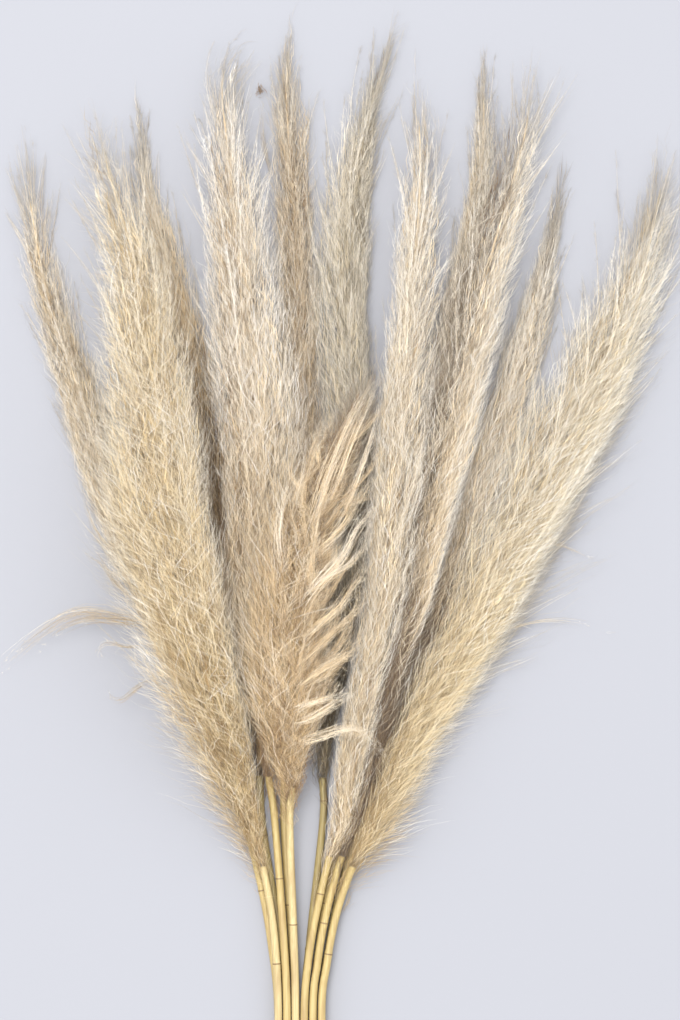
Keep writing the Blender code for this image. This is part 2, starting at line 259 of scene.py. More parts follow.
FIBRE_NOISE = (1500.0, 25.0, 1500.0)
BLOTCH_NOISE = (160.0, 22.0, 160.0)
STRAW_ROUGHNESS = (0.62, 0.4)
FIBRE_BUMP = 0.4
FIBRE_HEIGHT = 0.2 * MM


def straw_group():
    """Dry straw, with fine fibres along the reed and blotches of weathering."""
    group, given, put_out = surface_group(
        "straw", ("Straw", "Fibre", "Weathered"),
        (("Base Color", "NodeSocketColor"), ("Roughness", "NodeSocketFloat"), ("Normal", "NodeSocketVector")),
    )
    nodes, links = group.nodes, group.links
    where = nodes.new("ShaderNodeTexCoord")

    def noise(scale, detail, low, high):
        """Noise drawn out along the reed, as a share between its low and high marks."""
        stretch = nodes.new("ShaderNodeMapping")
        stretch.inputs["Scale"].default_value = scale
        links.new(where.outputs["Object"], stretch.inputs["Vector"])
        made = nodes.new("ShaderNodeTexNoise")
        made.inputs["Scale"].default_value = 1.0
        made.inputs["Detail"].default_value = detail
        links.new(stretch.outputs["Vector"], made.inputs["Vector"])
        return share(group, made.outputs["Fac"], low, high)

    fibres = noise(FIBRE_NOISE, detail=3.0, low=0.35, high=0.7)
    blotches = noise(BLOTCH_NOISE, detail=4.0, low=0.48, high=0.72)
    straw = mixed(group, fibres, given["Fibre"], given["Straw"])
    links.new(mixed(group, blotches, straw, given["Weathered"]), put_out["Base Color"])
    links.new(share(group, fibres, 0.0, 1.0, *STRAW_ROUGHNESS), put_out["Roughness"])
    bump = nodes.new("ShaderNodeBump")
    bump.inputs["Strength"].default_value = FIBRE_BUMP
    bump.inputs["Distance"].default_value = FIBRE_HEIGHT
    links.new(fibres, bump.inputs["Height"])
    links.new(bump.outputs["Normal"], put_out["Normal"])
    return group


def dry_material(name, group, *colours):
    """A material with the group's surface, in colours of its own."""
    material = bpy.data.materials.new(name)
    material.use_nodes = True
    nodes, links = material.node_tree.nodes, material.node_tree.links
    dry = nodes.new("ShaderNodeGroup")
    dry.node_tree = group
    for socket, colour in zip(dry.inputs, colours):
        socket.default_value = (*colour, 1.0)
    for output in dry.outputs:
        links.new(output, nodes["Principled BSDF"].inputs[output.name])
    return material


STRAW = straw_group()
STRAW_YELLOW = dry_material("straw_yellow", STRAW, (0.52, 0.41, 0.18), (0.36, 0.26, 0.10), (0.32, 0.22, 0.09))
STRAW_PALE = dry_material("straw_pale", STRAW, (0.58, 0.48, 0.25), (0.42, 0.32, 0.15), (0.36, 0.26, 0.12))
STRAW_OLIVE = dry_material("straw_olive", STRAW, (0.36, 0.29, 0.12), (0.24, 0.18, 0.07), (0.20, 0.14, 0.06))
JOINT_BROWN = dry_material("joint_brown", STRAW, (0.26, 0.17, 0.07), (0.16, 0.10, 0.04), (0.12, 0.07, 0.03))
PITH = dry_material("pith", STRAW, (0.70, 0.62, 0.42), (0.50, 0.42, 0.26), (0.34, 0.26, 0.14))


def fastened(mesh, node, materials):
    """Makes the mesh a piece of the bunch, in place of this plain solid."""
    for material in materials:
        mesh.materials.append(material)
    piece = bpy.data.objects.new(mesh.name, mesh)
    bpy.context.scene.collection.objects.link(piece)
    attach(piece, "root")
    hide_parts(node)


TOUCH_GAP = 0.3 * MM
BUTT_RADIUS = 4.3 * MM
FOOT_RADIUS = 3.6 * MM
REED_SIDES = 24
REED_STEP = 5 * MM
RIB_DEPTH = 0.02
FIRST_JOINT = (70 * MM, 150 * MM)
JOINT_STEP = 150 * MM
JOINT_STOPS = np.array([-4, -2, -0.7, 0.7, 2, 4]) * MM
JOINT_ROOM = 4.5 * MM
JOINT_HALF = 0.9 * MM
JOINT_SWELL = 0.07
JOINT_REACH = 2.2 * MM
NECK_DEPTH = 0.04
NECK_REACH = 2.5 * MM
NECK_AFTER = 5 * MM
SLANT_DEGREES = (5, 14)
PITH_REACH = 0.78
PITH_DEPTH = 1.2 * MM


def reed(stalk, straw=STRAW_YELLOW):
    """The bare reed, from its cut end to the foot of the plume, with its ribs, joints and pithy cut."""
    chance = np.random.default_rng(100 + stalk.number)
    end = stalk.foot - TOUCH_GAP
    joints = chance.uniform(*FIRST_JOINT) + np.arange(4) * JOINT_STEP * chance.uniform(0.9, 1.1)
    joints = joints[joints < end - 20 * MM]
    stops = np.arange(0.0, end, REED_STEP)
    for joint in joints:
        stops = stops[np.abs(stops - joint) > JOINT_ROOM]
        stops = np.concatenate([stops, joint + JOINT_STOPS])
    stops = np.append(np.sort(stops), end)
    radius = np.interp(stops, [0, end], [BUTT_RADIUS, FOOT_RADIUS])
    for joint in joints:
        radius *= 1 + JOINT_SWELL * np.exp(-(((stops - joint) / JOINT_REACH) ** 2))
        radius *= 1 - NECK_DEPTH * np.exp(-(((stops - joint - NECK_AFTER) / NECK_REACH) ** 2))
    centre, ahead, _ = stalk.at(stops)
    right, up = beside(ahead)
    angle = np.arange(REED_SIDES) * FULL_TURN / REED_SIDES
    ribs = 1 - RIB_DEPTH * (np.arange(REED_SIDES) % 2)
    ring = towards(angle, right[:, None], up[:, None])
    wall = centre[:, None] + ring * (radius[:, None] * ribs)[..., None]
    slant = BUTT_RADIUS * math.tan(math.radians(chance.uniform(*SLANT_DEGREES)))
    wall[0] += ahead[0] * (slant * (1 + np.cos(angle - chance.uniform(0, 6))))[:, None]
    rim = centre[0] + PITH_REACH * (wall[0] - centre[0])
    pit = rim * 0.55 + centre[0] * 0.45 + ahead[0] * PITH_DEPTH
    points = np.vstack([wall.reshape(-1, 3), rim, pit, pit.mean(axis=0)[None], centre[-1:]])

    count = REED_SIDES
    top = (len(stops) - 1) * count
    first_rim, first_pit = top + count, top + 2 * count
    pit_middle, top_middle = first_pit + count, first_pit + count + 1
    faces = []
    slots = []
    for i in range(len(stops) - 1):
        for k in range(count):
            a, b = i * count + k, i * count + (k + 1) % count
            faces.append((a, b, b + count, a + count))
        at_joint = np.abs(joints - (stops[i] + stops[i + 1]) / 2).min(initial=1.0) < JOINT_HALF
        slots += [1 if at_joint else 0] * count
    for k in range(count):
        j = (k + 1) % count
        faces.append((j, k, first_rim + k, first_rim + j))
        faces.append((first_rim + j, first_rim + k, first_pit + k, first_pit + j))
        faces.append((first_pit + j, first_pit + k, pit_middle))
        faces.append((top + k, top + j, top_middle))
        slots += [0, 2, 2, 2]
    mesh = bpy.data.meshes.new(f"reed_{stalk.name}")
    mesh.from_pydata(points.tolist(), [], faces)
    mesh.polygons.foreach_set("material_index", np.array(slots, np.int32))
    mesh.polygons.foreach_set("use_smooth", np.ones(len(faces), bool))
    mesh.update()
    fastened(mesh, f"stem_{stalk.name}", (straw, JOINT_BROWN, PITH))


def three_round(ahead, turn):
    """Three directions round each stop of a hair, towards the corners of its cross-section."""
    right, up = beside(unit(ahead), 1e-6)
    angle = turn[:, None] + np.arange(3) * FULL_TURN / 3
    return towards(angle[:, None], right[:, :, None], up[:, :, None])


def threads(paths, thickness, turn):
    """Closed three-sided threads along the paths, pointed at both ends: their points and triangles."""
    count, stops, _ = paths.shape
    corners = thickness[:, :, None, None] * three_round(paths[:, 2:] - paths[:, :-2], turn)
    rings = paths[:, 1:-1, None] + corners
    points = np.concatenate([paths[:, :1], rings.reshape(count, -1, 3), paths[:, -1:]], axis=1)
    last = 3 * (stops - 2) + 1
    one = []
    for k in range(3):
        j = (k + 1) % 3
        one.append((0, 1 + k, 1 + j))
        for ring in range(stops - 3):
            a, b = 1 + 3 * ring + k, 1 + 3 * ring + j
            one += [(b, a, a + 3), (b, a + 3, b + 3)]
        one.append((last, last - 3 + j, last - 3 + k))
    return points, np.array(one)


def spikes(root, tip, thickness, turn):
    """Closed straight hairs, three-sided, each with a small flat root and a pointed tip."""
    corners = thickness[:, None, None] * three_round((tip - root)[:, None], turn)[:, 0]
    points = np.concatenate([root[:, None] + corners, tip[:, None]], axis=1)
    return points, np.array([(0, 2, 1), (0, 1, 3), (1, 2, 3), (2, 0, 3)])


DRAWN_IN_ABOVE = 104 * MM


def settled(heights, lowest):
    """Heights kept off the surface, and drawn in where they are above the tallest plume."""
    heights = np.maximum(heights, lowest)
    return np.minimum(heights, DRAWN_IN_ABOVE + 0.5 * np.maximum(heights - DRAWN_IN_ABOVE, 0))


PLAIN = 0.3
WARMTH_SPAN = 0.64
BAREST = 0.06
SHADES = (0.05, 0.95)
WARMER_ROOT = 0.05
LIGHTER_SIDE = 0.02
# Hairs that stand alone are made finer, and painted darker and greyer, so that in full light they don't show
# brighter than the thick of the plume.
ALONE_THINNER = 0.35
ALONE_DARKER = 0.2
ALONE_BARER = 1.3


class Fluff:
    """Gathers threads and hairs and makes one mesh of them. Its UV map says each one's warmth and shade.
    The hairs that stand by themselves, past this reach or at the plume's tip, are finer, and painted a
    darker, bare grey, so that in full light they don't show brighter than the thick of the plume."""

    def __init__(self, stalk, reach, bias=0.0):
        self.stalk = stalk
        self.reach = reach
        self.bias = bias
        self.points = []
        self.corners = []
        self.places = []
        self.total = 0

    def keep(self, points, one, along, across, shade, warmth):
        """Keeps hairs of one kind. Their places on the map vary a little along and across each hair."""
        places = np.empty((*points.shape[:2], 2))
        warmth = np.clip(PLAIN + WARMTH_SPAN * warmth, BAREST, PLAIN + WARMTH_SPAN)
        places[..., 0] = warmth[:, None] + WARMER_ROOT * (0.5 - along)
        places[..., 1] = np.clip(shade, *SHADES)[:, None] + LIGHTER_SIDE * across
        corners = one[None] + (np.arange(len(points)) * points.shape[1])[:, None, None] + self.total
        self.points.append(points.reshape(-1, 3))
        self.corners.append(corners.reshape(-1, 3))
        self.places.append(places.reshape(-1, 2))
        self.total += len(self.points[-1])

    def dimmed_alone(self, middles, thickness, shade, warmth):
        """The thickness, shade and warmth once the hairs that stand by themselves are made finer and painted
        darker and greyer, so that in full light they don't show brighter than the thick of the plume.
        """
        alone = self.stalk.openness(middles, self.reach, self.bias)
        thinner = (thickness.T * (1 - ALONE_THINNER * alone)).T
        return thinner, shade - ALONE_DARKER * alone, warmth - ALONE_BARER * alone

    def add_threads(self, paths, thickness, shade, warmth, chance):
        """Bent threads. Shade runs from 0, the darkest, to 1, the lightest, and warmth from 0 to 1."""
        paths[..., 2] = settled(paths[..., 2], LOWEST_HAIR + thickness.max())
        thickness, shade, warmth = self.dimmed_alone(paths.mean(axis=1), thickness, shade, warmth)
        points, one = threads(paths, thickness, chance.random(len(paths)) * FULL_TURN)
        stops = paths.shape[1]
        along = np.concatenate([[0.0], np.repeat(np.arange(1, stops - 1), 3) / (stops - 1), [1.0]])
        across = np.concatenate([[0.0], np.tile([-1.0, 0.0, 1.0], stops - 2), [0.0]])
        self.keep(points, one, along, across, shade, warmth)

    def add_hairs(self, root, tip, thickness, shade, warmth, chance):
        """Straight fine hairs."""
        root[:, 2] = settled(root[:, 2], LOWEST_HAIR)
        tip[:, 2] = settled(tip[:, 2], LOWEST_HAIR)
        thickness, shade, warmth = self.dimmed_alone((root + tip) / 2, thickness, shade, warmth)
        points, one = spikes(root, tip, thickness, chance.random(len(root)) * FULL_TURN)
        self.keep(points, one, np.array([0.0, 0.3, 0.0, 1.0]), np.array([-1.0, 0.0, 1.0, 0.0]), shade, warmth)

    def make(self, kind, material):
        """Makes the piece of the plume that holds all the hairs kept so far."""
        points = np.vstack(self.points)
        corners = np.vstack(self.corners)
        places = np.vstack(self.places)
        mesh = bpy.data.meshes.new(f"{kind}_{self.stalk.name}")
        mesh.vertices.add(len(points))
        mesh.vertices.foreach_set("co", points.astype(np.float32).ravel())
        mesh.loops.add(corners.size)
        mesh.loops.foreach_set("vertex_index", corners.astype(np.int32).ravel())
        mesh.polygons.add(len(corners))
        mesh.polygons.foreach_set("loop_start", np.arange(0, corners.size, 3, dtype=np.int32))
        mesh.polygons.foreach_set("use_smooth", np.ones(len(corners), bool))
        mesh.update()
        layer = mesh.uv_layers.new(name="OFBake")
        layer.uv.foreach_set("vector", places[corners.ravel()].astype(np.float32).ravel())
        mesh.validate()
        fastened(mesh, f"plume_{self.stalk.name}", [material])


def spots_along(stalk, count, chance, first, last):
    """Distances along the plume, more of them where it is wider, and fewer where it thins out."""
    distance = np.linspace(stalk.foot + first, stalk.length - last, 300)
    filled = np.cumsum((stalk.at(distance)[2] + 7 * MM) * stalk.thins(distance))
    return np.interp(chance.random(count) * filled[-1], filled, distance)


GOLDEN_TURN = math.radians(137.5)
BRANCH_POINTS = 12
SHORTEST_BRANCH = 30 * MM
STRANDS = 3


def side_branches(stalk, count, length, reach, chance, last):
    """The lines of a plume's side branches, which lean out from the reed all along it."""
    start = np.sort(spots_along(stalk, count, chance, 2 * MM, last))
    angle = np.arange(count) * GOLDEN_TURN + chance.normal(0, 0.35, count)
    left = stalk.length - start
    own_length = np.minimum(length * chance.uniform(0.6, 1.2, count), left * chance.uniform(0.6, 1.03, count))
    own_length = np.maximum(own_length, SHORTEST_BRANCH)
    own_width = np.maximum(stalk.at(start + 0.6 * own_length)[2], 4 * MM)
    out = own_width * chance.uniform(*reach, count) * stalk.swell(start, angle)
    out *= stalk.lopsided(start + 0.5 * own_length, angle)
    t = np.linspace(0, 1, BRANCH_POINTS)
    distance = start[:, None] + own_length[:, None] * t
    spread = out[:, None] * (0.04 + 0.96 * t ** chance.uniform(0.7, 1.15, count)[:, None])
    sway = chance.normal(0, 0.25, count)[:, None] * t
    lines = stalk.place(distance, angle[:, None] + sway, spread)
    wander = chance.normal(0, 1.0, (count, 2, 3)) * own_length[:, None, None]
    lines += 0.022 * wander[:, :1] * np.sin(math.pi * t)[None, :, None]
    lines += 0.026 * wander[:, 1:] * (t**2)[None, :, None]
    return lines


def tip_branches(stalk, tips, chance):
    """Bundles of branches that end in the plume's own open tips. A tip is its place across and along in
    millimetres, how far back its bundle leaves the reed, and how far the bundle bows to the right."""
    lines = []
    t = np.linspace(0, 1, BRANCH_POINTS)[:, None]
    for tip in tips:
        x, y, back, bow = (value * MM for value in tip)
        abreast = stalk.nearest(x, y)
        for strand in range(STRANDS):
            inner = strand / STRANDS
            start = stalk.at(max(abreast - back * (1 - 0.55 * inner), stalk.foot))[0]
            centre, _, half_width = stalk.at(min(abreast, stalk.length))
            lift = half_width * chance.uniform(0.0, 0.5)
            end = np.array([x, y, centre[2] + lift])
            run = end - start
            middle = start + 0.5 * run + bow * (1 - 0.4 * inner) * beside(run)[0]
            shorter = 1 - 0.5 * inner * chance.uniform(0.4, 1.0)
            s = t * shorter
            line = (1 - s) ** 2 * start + 2 * s * (1 - s) * middle + s**2 * end
            line += chance.normal(0, 0.006, 3) * np.linalg.norm(run) * np.sin(math.pi * t)
            line += chance.normal(0, 1.2 * MM, 3) * t
            lines.append(line)
    return np.array(lines)


def stretches(lines, first, last, stops):
    """The stretch of each line from its first to its last share, as this many points. It may run past."""
    spots = (first[:, None] + (last - first)[:, None] * np.linspace(0, 1, stops)) * (BRANCH_POINTS - 1)
    low = np.clip(spots.astype(int), 0, BRANCH_POINTS - 2)
    rows = np.arange(len(lines))[:, None]
    return lines[rows, low] + (spots - low)[..., None] * (lines[rows, low + 1] - lines[rows, low])


FILAMENTS_EACH = 2
FILAMENT_POINTS = 7


def filaments(lines, chance):
    """The paths of long, bare, fine hairs that run along the tip branches and some way past their ends."""
    lines = np.repeat(lines, FILAMENTS_EACH, axis=0)
    count = len(lines)
    first = chance.uniform(0.3, 0.75, count)
    paths = stretches(lines, first, chance.uniform(0.85, 1.1, count), FILAMENT_POINTS)
    t = np.linspace(0, 1, FILAMENT_POINTS)
    drift = chance.normal(0, 2.4 * MM, (count, 1, 3))
    bow = chance.normal(0, 1.3 * MM, (count, 1, 3))
    return paths + drift * t[:, None] + bow * np.sin(math.pi * t)[:, None]


HAIRS_A_TUFT = 3
SPARSE_SHARE = 0.3
SPARSE_LEAN = 0.65


def tufts_on(lines, count, length, lean, chance, sparse=0):
    """The roots and tips of silky hairs in small tufts on the branches, and which branch each is on. The
    last branches, as many as sparse says, carry far fewer than the others."""
    steps = np.linalg.norm(np.diff(lines, axis=1), axis=2).sum(axis=1)
    steps[len(lines) - sparse:] *= SPARSE_SHARE
    lean = np.where(np.arange(len(lines)) < len(lines) - sparse, lean, SPARSE_LEAN * lean)
    which = chance.choice(len(lines), count, p=steps / steps.sum())
    along = 0.06 + 0.94 * chance.random(count) ** 0.9
    spot = along * (BRANCH_POINTS - 1)
    low = np.minimum(spot.astype(int), BRANCH_POINTS - 2)
    a, b = lines[which, low], lines[which, low + 1]
    root = a + (spot - low)[:, None] * (b - a)
    ahead = unit(b - a)
    out = towards(chance.random(count) * FULL_TURN, *beside(ahead, 1e-9))
    tilt = np.tan(np.radians(lean[which])) * chance.gamma(3.0, 0.33, count) * (1 - 0.4 * along)
    ahead = unit(ahead + tilt[:, None] * out)
    own = length * chance.uniform(0.5, 1.3, count) * (1 - 0.5 * along)
    own, root, ahead, which, along = (
        np.repeat(each, HAIRS_A_TUFT, axis=0) for each in (own, root, ahead, which, along)
    )
    total = len(own)
    start = root + ahead * (own * 0.8 * chance.random(total))[:, None]
    start = start + chance.normal(0, 0.35 * MM, (total, 3))
    ahead = unit(ahead + chance.normal(0, 0.2, (total, 3)))
    return start, start + ahead * (own * chance.uniform(0.6, 1.2, total))[:, None], which, along


def hollows(stalk, angle, distance, chance):
    """From about -1, where the plume is hollow between its locks, to about 1, where they stand out."""
    a, b, c = chance.random(3) * FULL_TURN
    bands = max(2, round(stalk.widest / (10 * MM)))
    drift = 2.2 * np.sin(distance / (37 * MM) + b)
    wide = np.sin(bands * angle + a + drift) * np.sin(distance / (21 * MM) + 2 * angle + c)
    return 0.7 * wide + 0.5 * np.sin(2 * bands * angle - c + 2.5 * np.sin(distance / (19 * MM) + a))


SWEEP = 0.2
TIGHTEST_TURN = 4 * MM


def leaning(angle, lean, most, cross, flare, chance):
    """How steeply hairs lean out of the plume, by up to this much of their lean, and their drift round it."""
    slope = np.tan(np.radians(lean)) * chance.uniform(0.0, most, len(angle))
    slope *= 1 + np.maximum(flare * np.cos(angle), 0)
    drift = np.tan(np.radians(cross)) * chance.normal(0, 1, len(angle)) - SWEEP * flare * np.sin(angle)
    return slope, drift


def laid(stalk, start, own, angle, out, slope, sideways, t):
    """The paths of hairs of their own lengths that start this far out and lean further out from there."""
    out = out[:, None] + (slope * own)[:, None] * t
    out = out * stalk.lopsided(start, angle)[:, None]
    turn = angle[:, None] + sideways / np.maximum(out, TIGHTEST_TURN)
    return stalk.place(start[:, None] + own[:, None] * t, turn, out)


DARK_LOCKS = 0.13
DARKER = 0.42
PALE_LOCKS = 0.1
PALER = 0.25


def locks(stalk, chance, count, hairs_each, length, depth, lean, cross, stray, last, flare, side, hollow_shading):
    """The paths of curved hairs that lie in locks all round the plume, with how deep each hair lies, where
    it starts, and how light its lock is. The locks sink in where the plume is hollow."""
    start = spots_along(stalk, count, chance, -6 * MM, last)
    angle = chance.random(count) * FULL_TURN
    hollow = hollows(stalk, angle, start, chance)
    own_depth = depth[0] + (depth[1] - depth[0]) * chance.random(count) ** 0.85
    own_depth *= np.where(hollow < -0.4, 0.65, 1.0) * (0.5 + 0.5 * stalk.thins(start))
    own_depth *= stalk.swell(start, angle)
    slope, drift = leaning(angle, lean, 1.2, cross, flare, chance)
    # Besides each lock's own random tone: painted light on one side of the plume and painted shade on the
    # other, as side gives it.
    light = chance.normal(0, 0.1, count) + stalk.blend(start, side) * np.cos(angle)
    light -= np.where(chance.random(count) < DARK_LOCKS, DARKER, 0.0)
    light += np.where(chance.random(count) < PALE_LOCKS, PALER, 0.0)
    # Painted shade in the hollows between the locks, and painted light on the locks that stand out, most low
    # down.
    light += hollow_shading * hollow * (1.5 - stalk.part(start))
    curl = chance.normal(0, 0.08, (count, 3))
    start, angle, own_depth, slope, drift, light, curl = (
        np.repeat(each, hairs_each, axis=0) for each in (start, angle, own_depth, slope, drift, light, curl)
    )
    total = count * hairs_each
    own = length * chance.uniform(0.5, 1.25, total)
    onward = np.minimum(length * chance.normal(0, 0.75, total), stalk.length - start)
    start = start + onward
    half_width = np.maximum(stalk.at(start)[2], 5 * MM)
    own_depth = own_depth * chance.uniform(0.86, 1.12, total)
    t = np.array([0.0, 0.5, 1.0])
    travelled = 0.8 * onward[:, None] + own[:, None] * t
    sideways = chance.normal(0, 1.3 * MM, total)[:, None] + drift[:, None] * travelled
    paths = laid(stalk, start, own, angle, own_depth * half_width, slope, sideways, t)
    paths[:, 1] += curl * own[:, None]
    paths[:, 1:] += chance.normal(0, stray, (total, 2, 3)) * own[:, None, None] * [[[0.5], [1.0]]]
    return paths, own_depth, start, light


def loose_hairs(stalk, chance, count, length, lean, cross, last, flare):
    """The paths of single long, wavy hairs that lie on top of the locks, with where each starts, along the
    plume and round it. A few are much longer than the rest."""
    start = spots_along(stalk, count, chance, 0.0, last)
    angle = chance.random(count) * FULL_TURN
    half_width = np.maximum(stalk.at(start)[2], 5 * MM)
    own = length * chance.uniform(0.45, 1.2, count) * np.where(chance.random(count) < 0.12, 1.8, 1.0)
    depth = stalk.reach * chance.uniform(0.5, 0.92, count) * (0.5 + 0.5 * stalk.thins(start))
    depth *= stalk.swell(start, angle)
    slope, drift = leaning(angle, lean, 1.3, cross, flare, chance)
    t = np.linspace(0, 1, 5)
    bow = chance.normal(0, 0.45, count)
    sideways = own[:, None] * (drift[:, None] * t + bow[:, None] * t**2)
    paths = laid(stalk, start, own, angle, depth * half_width, slope, sideways, t)
    paths[:, 1:] += chance.normal(0, 0.038, (count, 4, 3)) * own[:, None, None]
    return paths, start, angle


HAIR_ROUGHNESS = (0.75, 0.5)
# Below these marks of warmth, hairs take the painted grey of those that stand alone in full light.
BARE_MARKS = (0.28, 0.08)
BARE_GREY = (0.46, 0.405, 0.33)
SHEEN = 0.3
SPECULAR = 0.3


def dry_hair_group():
    """The colour of a dry hair by its warmth and shade, from the map of the fluff."""
    group, given, put_out = surface_group(
        "dry_hair", ("Deep", "Middle", "Pale", "Gold", "Bare"),
        (("Base Color", "NodeSocketColor"), ("Roughness", "NodeSocketFloat")),
    )
    where = group.nodes.new("ShaderNodeUVMap")
    where.uv_map = "OFBake"
    split = group.nodes.new("ShaderNodeSeparateXYZ")
    group.links.new(where.outputs["UV"], split.inputs["Vector"])
    warmth, shade = split.outputs["X"], split.outputs["Y"]
    dark_half = mixed(group, share(group, shade, 0.0, 0.5), given["Deep"], given["Middle"])
    tone = mixed(group, share(group, shade, 0.5, 1.0), dark_half, given["Pale"])
    gilding = share(group, warmth, PLAIN, PLAIN + WARMTH_SPAN)
    gilt = mixed(group, gilding, tone, given["Gold"], "MULTIPLY")
    bare = mixed(group, share(group, warmth, *BARE_MARKS), gilt, given["Bare"])
    group.links.new(bare, put_out["Base Color"])
    group.links.new(share(group, shade, 0.0, 1.0, *HAIR_ROUGHNESS), put_out["Roughness"])
    return group


RACHIS_FIBRES = 7
RACHIS_STOPS = 40
RACHIS_TWIST = 80 * MM


def rachis(heart, chance):
    """The thin end of the reed, which runs on through the plume as a twist of fibres."""
    stalk = heart.stalk
    along = np.linspace(stalk.foot + 2 * MM, stalk.length - 50 * MM, RACHIS_STOPS)
    around = np.arange(RACHIS_FIBRES) * FULL_TURN / RACHIS_FIBRES
    turn = around[:, None] + along / RACHIS_TWIST
    out = np.linspace(2.2, 0.5, RACHIS_STOPS) * MM
    paths = stalk.place(np.tile(along, (RACHIS_FIBRES, 1)), turn, out[None])
    thick = np.tile(np.linspace(1.4, 0.4, RACHIS_STOPS - 2) * MM, (RACHIS_FIBRES, 1))
    heart.add_threads(paths, thick, np.full(RACHIS_FIBRES, 0.4), np.full(RACHIS_FIBRES, 0.9), chance)


DRY_HAIR = dry_hair_group()
PALE_HAIRS = 0.3
PALE_HAIR_LIGHTER = 0.3
PALE_HAIR_THICKER = 1.7
LOOSE_HAIR_TAPER = np.array([[1.0, 0.9, 0.6]])
LEFT_WHOLE = 9.0
WISPS_WARMTH = 0.25
SMALL_CURLS = 80


def plume(stalk, slot, colours, tips, open_tip, warm, tone=(0.0, 0.0, 0.0), side=0.0, flare=0.0, edge=1.25,
          hair=11 * MM, lean=19, cross=16, stray=0.12, hollow_shading=0.16, wisps=(), knots=(), curls=()):
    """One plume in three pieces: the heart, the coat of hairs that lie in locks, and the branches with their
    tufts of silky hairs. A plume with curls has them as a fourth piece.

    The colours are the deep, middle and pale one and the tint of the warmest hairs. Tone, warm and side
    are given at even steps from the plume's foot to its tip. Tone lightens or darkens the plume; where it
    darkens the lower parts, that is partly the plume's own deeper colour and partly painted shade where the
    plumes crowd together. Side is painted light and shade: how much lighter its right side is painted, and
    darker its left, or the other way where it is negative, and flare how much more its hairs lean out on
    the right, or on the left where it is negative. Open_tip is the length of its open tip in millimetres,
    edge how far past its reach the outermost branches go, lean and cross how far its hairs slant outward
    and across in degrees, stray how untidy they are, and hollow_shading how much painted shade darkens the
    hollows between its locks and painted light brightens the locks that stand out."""
    chance = np.random.default_rng(stalk.number)
    width = stalk.widest / MM
    reach = stalk.reach
    material = dry_material(f"fluff_{stalk.name}", DRY_HAIR, *colours, BARE_GREY)
    shader = material.node_tree.nodes["Principled BSDF"]
    shader.inputs["Specular IOR Level"].default_value = SPECULAR
    shader.inputs["Sheen Weight"].default_value = SHEEN

    def amount(least, per_mm):
        """How many of them a plume of this width has."""
        return int(least + per_mm * width)

    heart = Fluff(stalk, reach, stalk.bias)
    rachis(heart, chance)
    paths, depth, start, light = locks(
        stalk, chance, count=amount(80, 7), hairs_each=12, length=32 * MM, depth=(0.0, 0.66 * reach), lean=7,
        cross=10, stray=0.07, last=0.7 * open_tip * MM, flare=0.0, side=side, hollow_shading=0.16,
    )
    # Painted shade: the packed hairs round the reed are painted darker than the coat, and darker the further
    # in they lie.
    shade = 0.22 + 0.15 * depth + stalk.blend(start, tone) + light
    shade += chance.normal(0, 0.06, len(paths))
    warmth = 0.4 + stalk.blend(start, warm) + chance.normal(0, 0.1, len(paths))
    heart.add_threads(paths, chance.uniform(0.25, 0.45, len(paths))[:, None] * MM, shade, warmth, chance)
    paths, start, angle = loose_hairs(
        stalk, chance, count=amount(220, 80), length=2.6 * hair, lean=lean, cross=1.3 * cross,
        last=0.4 * open_tip * MM, flare=flare,
    )
    shade = 0.7 + 0.7 * stalk.blend(start, tone) + chance.normal(0, 0.12, len(paths))
    pale = chance.random(len(paths)) < PALE_HAIRS
    shade += np.where(pale, PALE_HAIR_LIGHTER, 0.0)
    # Painted light on one side of the plume and painted shade on the other, as side gives it.
    shade += stalk.blend(start, side) * np.cos(angle)
    warmth = stalk.blend(start, warm) - np.where(pale, 0.6, 0.25) + chance.normal(0, 0.15, len(paths))
    thick = chance.uniform(0.08, 0.14, len(paths)) * np.where(pale, PALE_HAIR_THICKER, 1.0) * MM
    heart.add_threads(paths, thick[:, None] * LOOSE_HAIR_TAPER, shade, warmth, chance)

    branches = amount(45, 2.6)
    few = int(0.35 * branches)
    length = (95 + 1.2 * width) * MM
    at_tips = tip_branches(stalk, tips, chance)
    lines = np.concatenate([
        side_branches(stalk, branches, length, (0.2, reach), chance, 0.7 * open_tip * MM),
        side_branches(stalk, few, 1.1 * length, (0.8 * reach, edge * reach), chance, 0.9 * open_tip * MM),
        at_tips,
    ])
    total = len(lines)
    abreast = np.interp(lines[:, 6, 1], stalk.points[:, 1], stalk.reached)
    own_shade = chance.normal(0, 0.13, total) + stalk.blend(abreast, tone)
    centre, _, half_width = stalk.at(abreast)
    across = np.clip((lines[:, 6, 0] - centre[:, 0]) / np.maximum(half_width, 8 * MM), -1, 1)
    # Painted light on one side of the plume and painted shade on the other, as side gives it.
    own_shade += stalk.blend(abreast, side) * across
    own_warmth = chance.normal(0, 0.12, total) + stalk.blend(abreast, warm)
    taper = np.linspace(0.3, 0.1, BRANCH_POINTS - 2)[None] * MM
    heart.add_threads(lines, np.repeat(taper, total, axis=0), 0.35 + own_shade, own_warmth, chance)
    paths = filaments(at_tips, chance)
    taper = np.linspace(0.2, 0.1, FILAMENT_POINTS - 2)[None]
    taper = taper * chance.uniform(0.6, 1.1, len(paths))[:, None] * MM
    warmth = chance.normal(-0.1, 0.2, len(paths))
    heart.add_threads(paths, taper, chance.normal(0.3, 0.1, len(paths)), warmth, chance)
    heart.make("heart", material)

    coat = Fluff(stalk, reach, stalk.bias)
    paths, depth, start, light = locks(
        stalk, chance, count=amount(100, 36), hairs_each=15, length=2.1 * hair, depth=(0.25, 0.84 * reach),
        lean=lean, cross=cross, stray=stray, last=0.4 * open_tip * MM, flare=flare, side=side, hollow_shading=hollow_shading,
    )
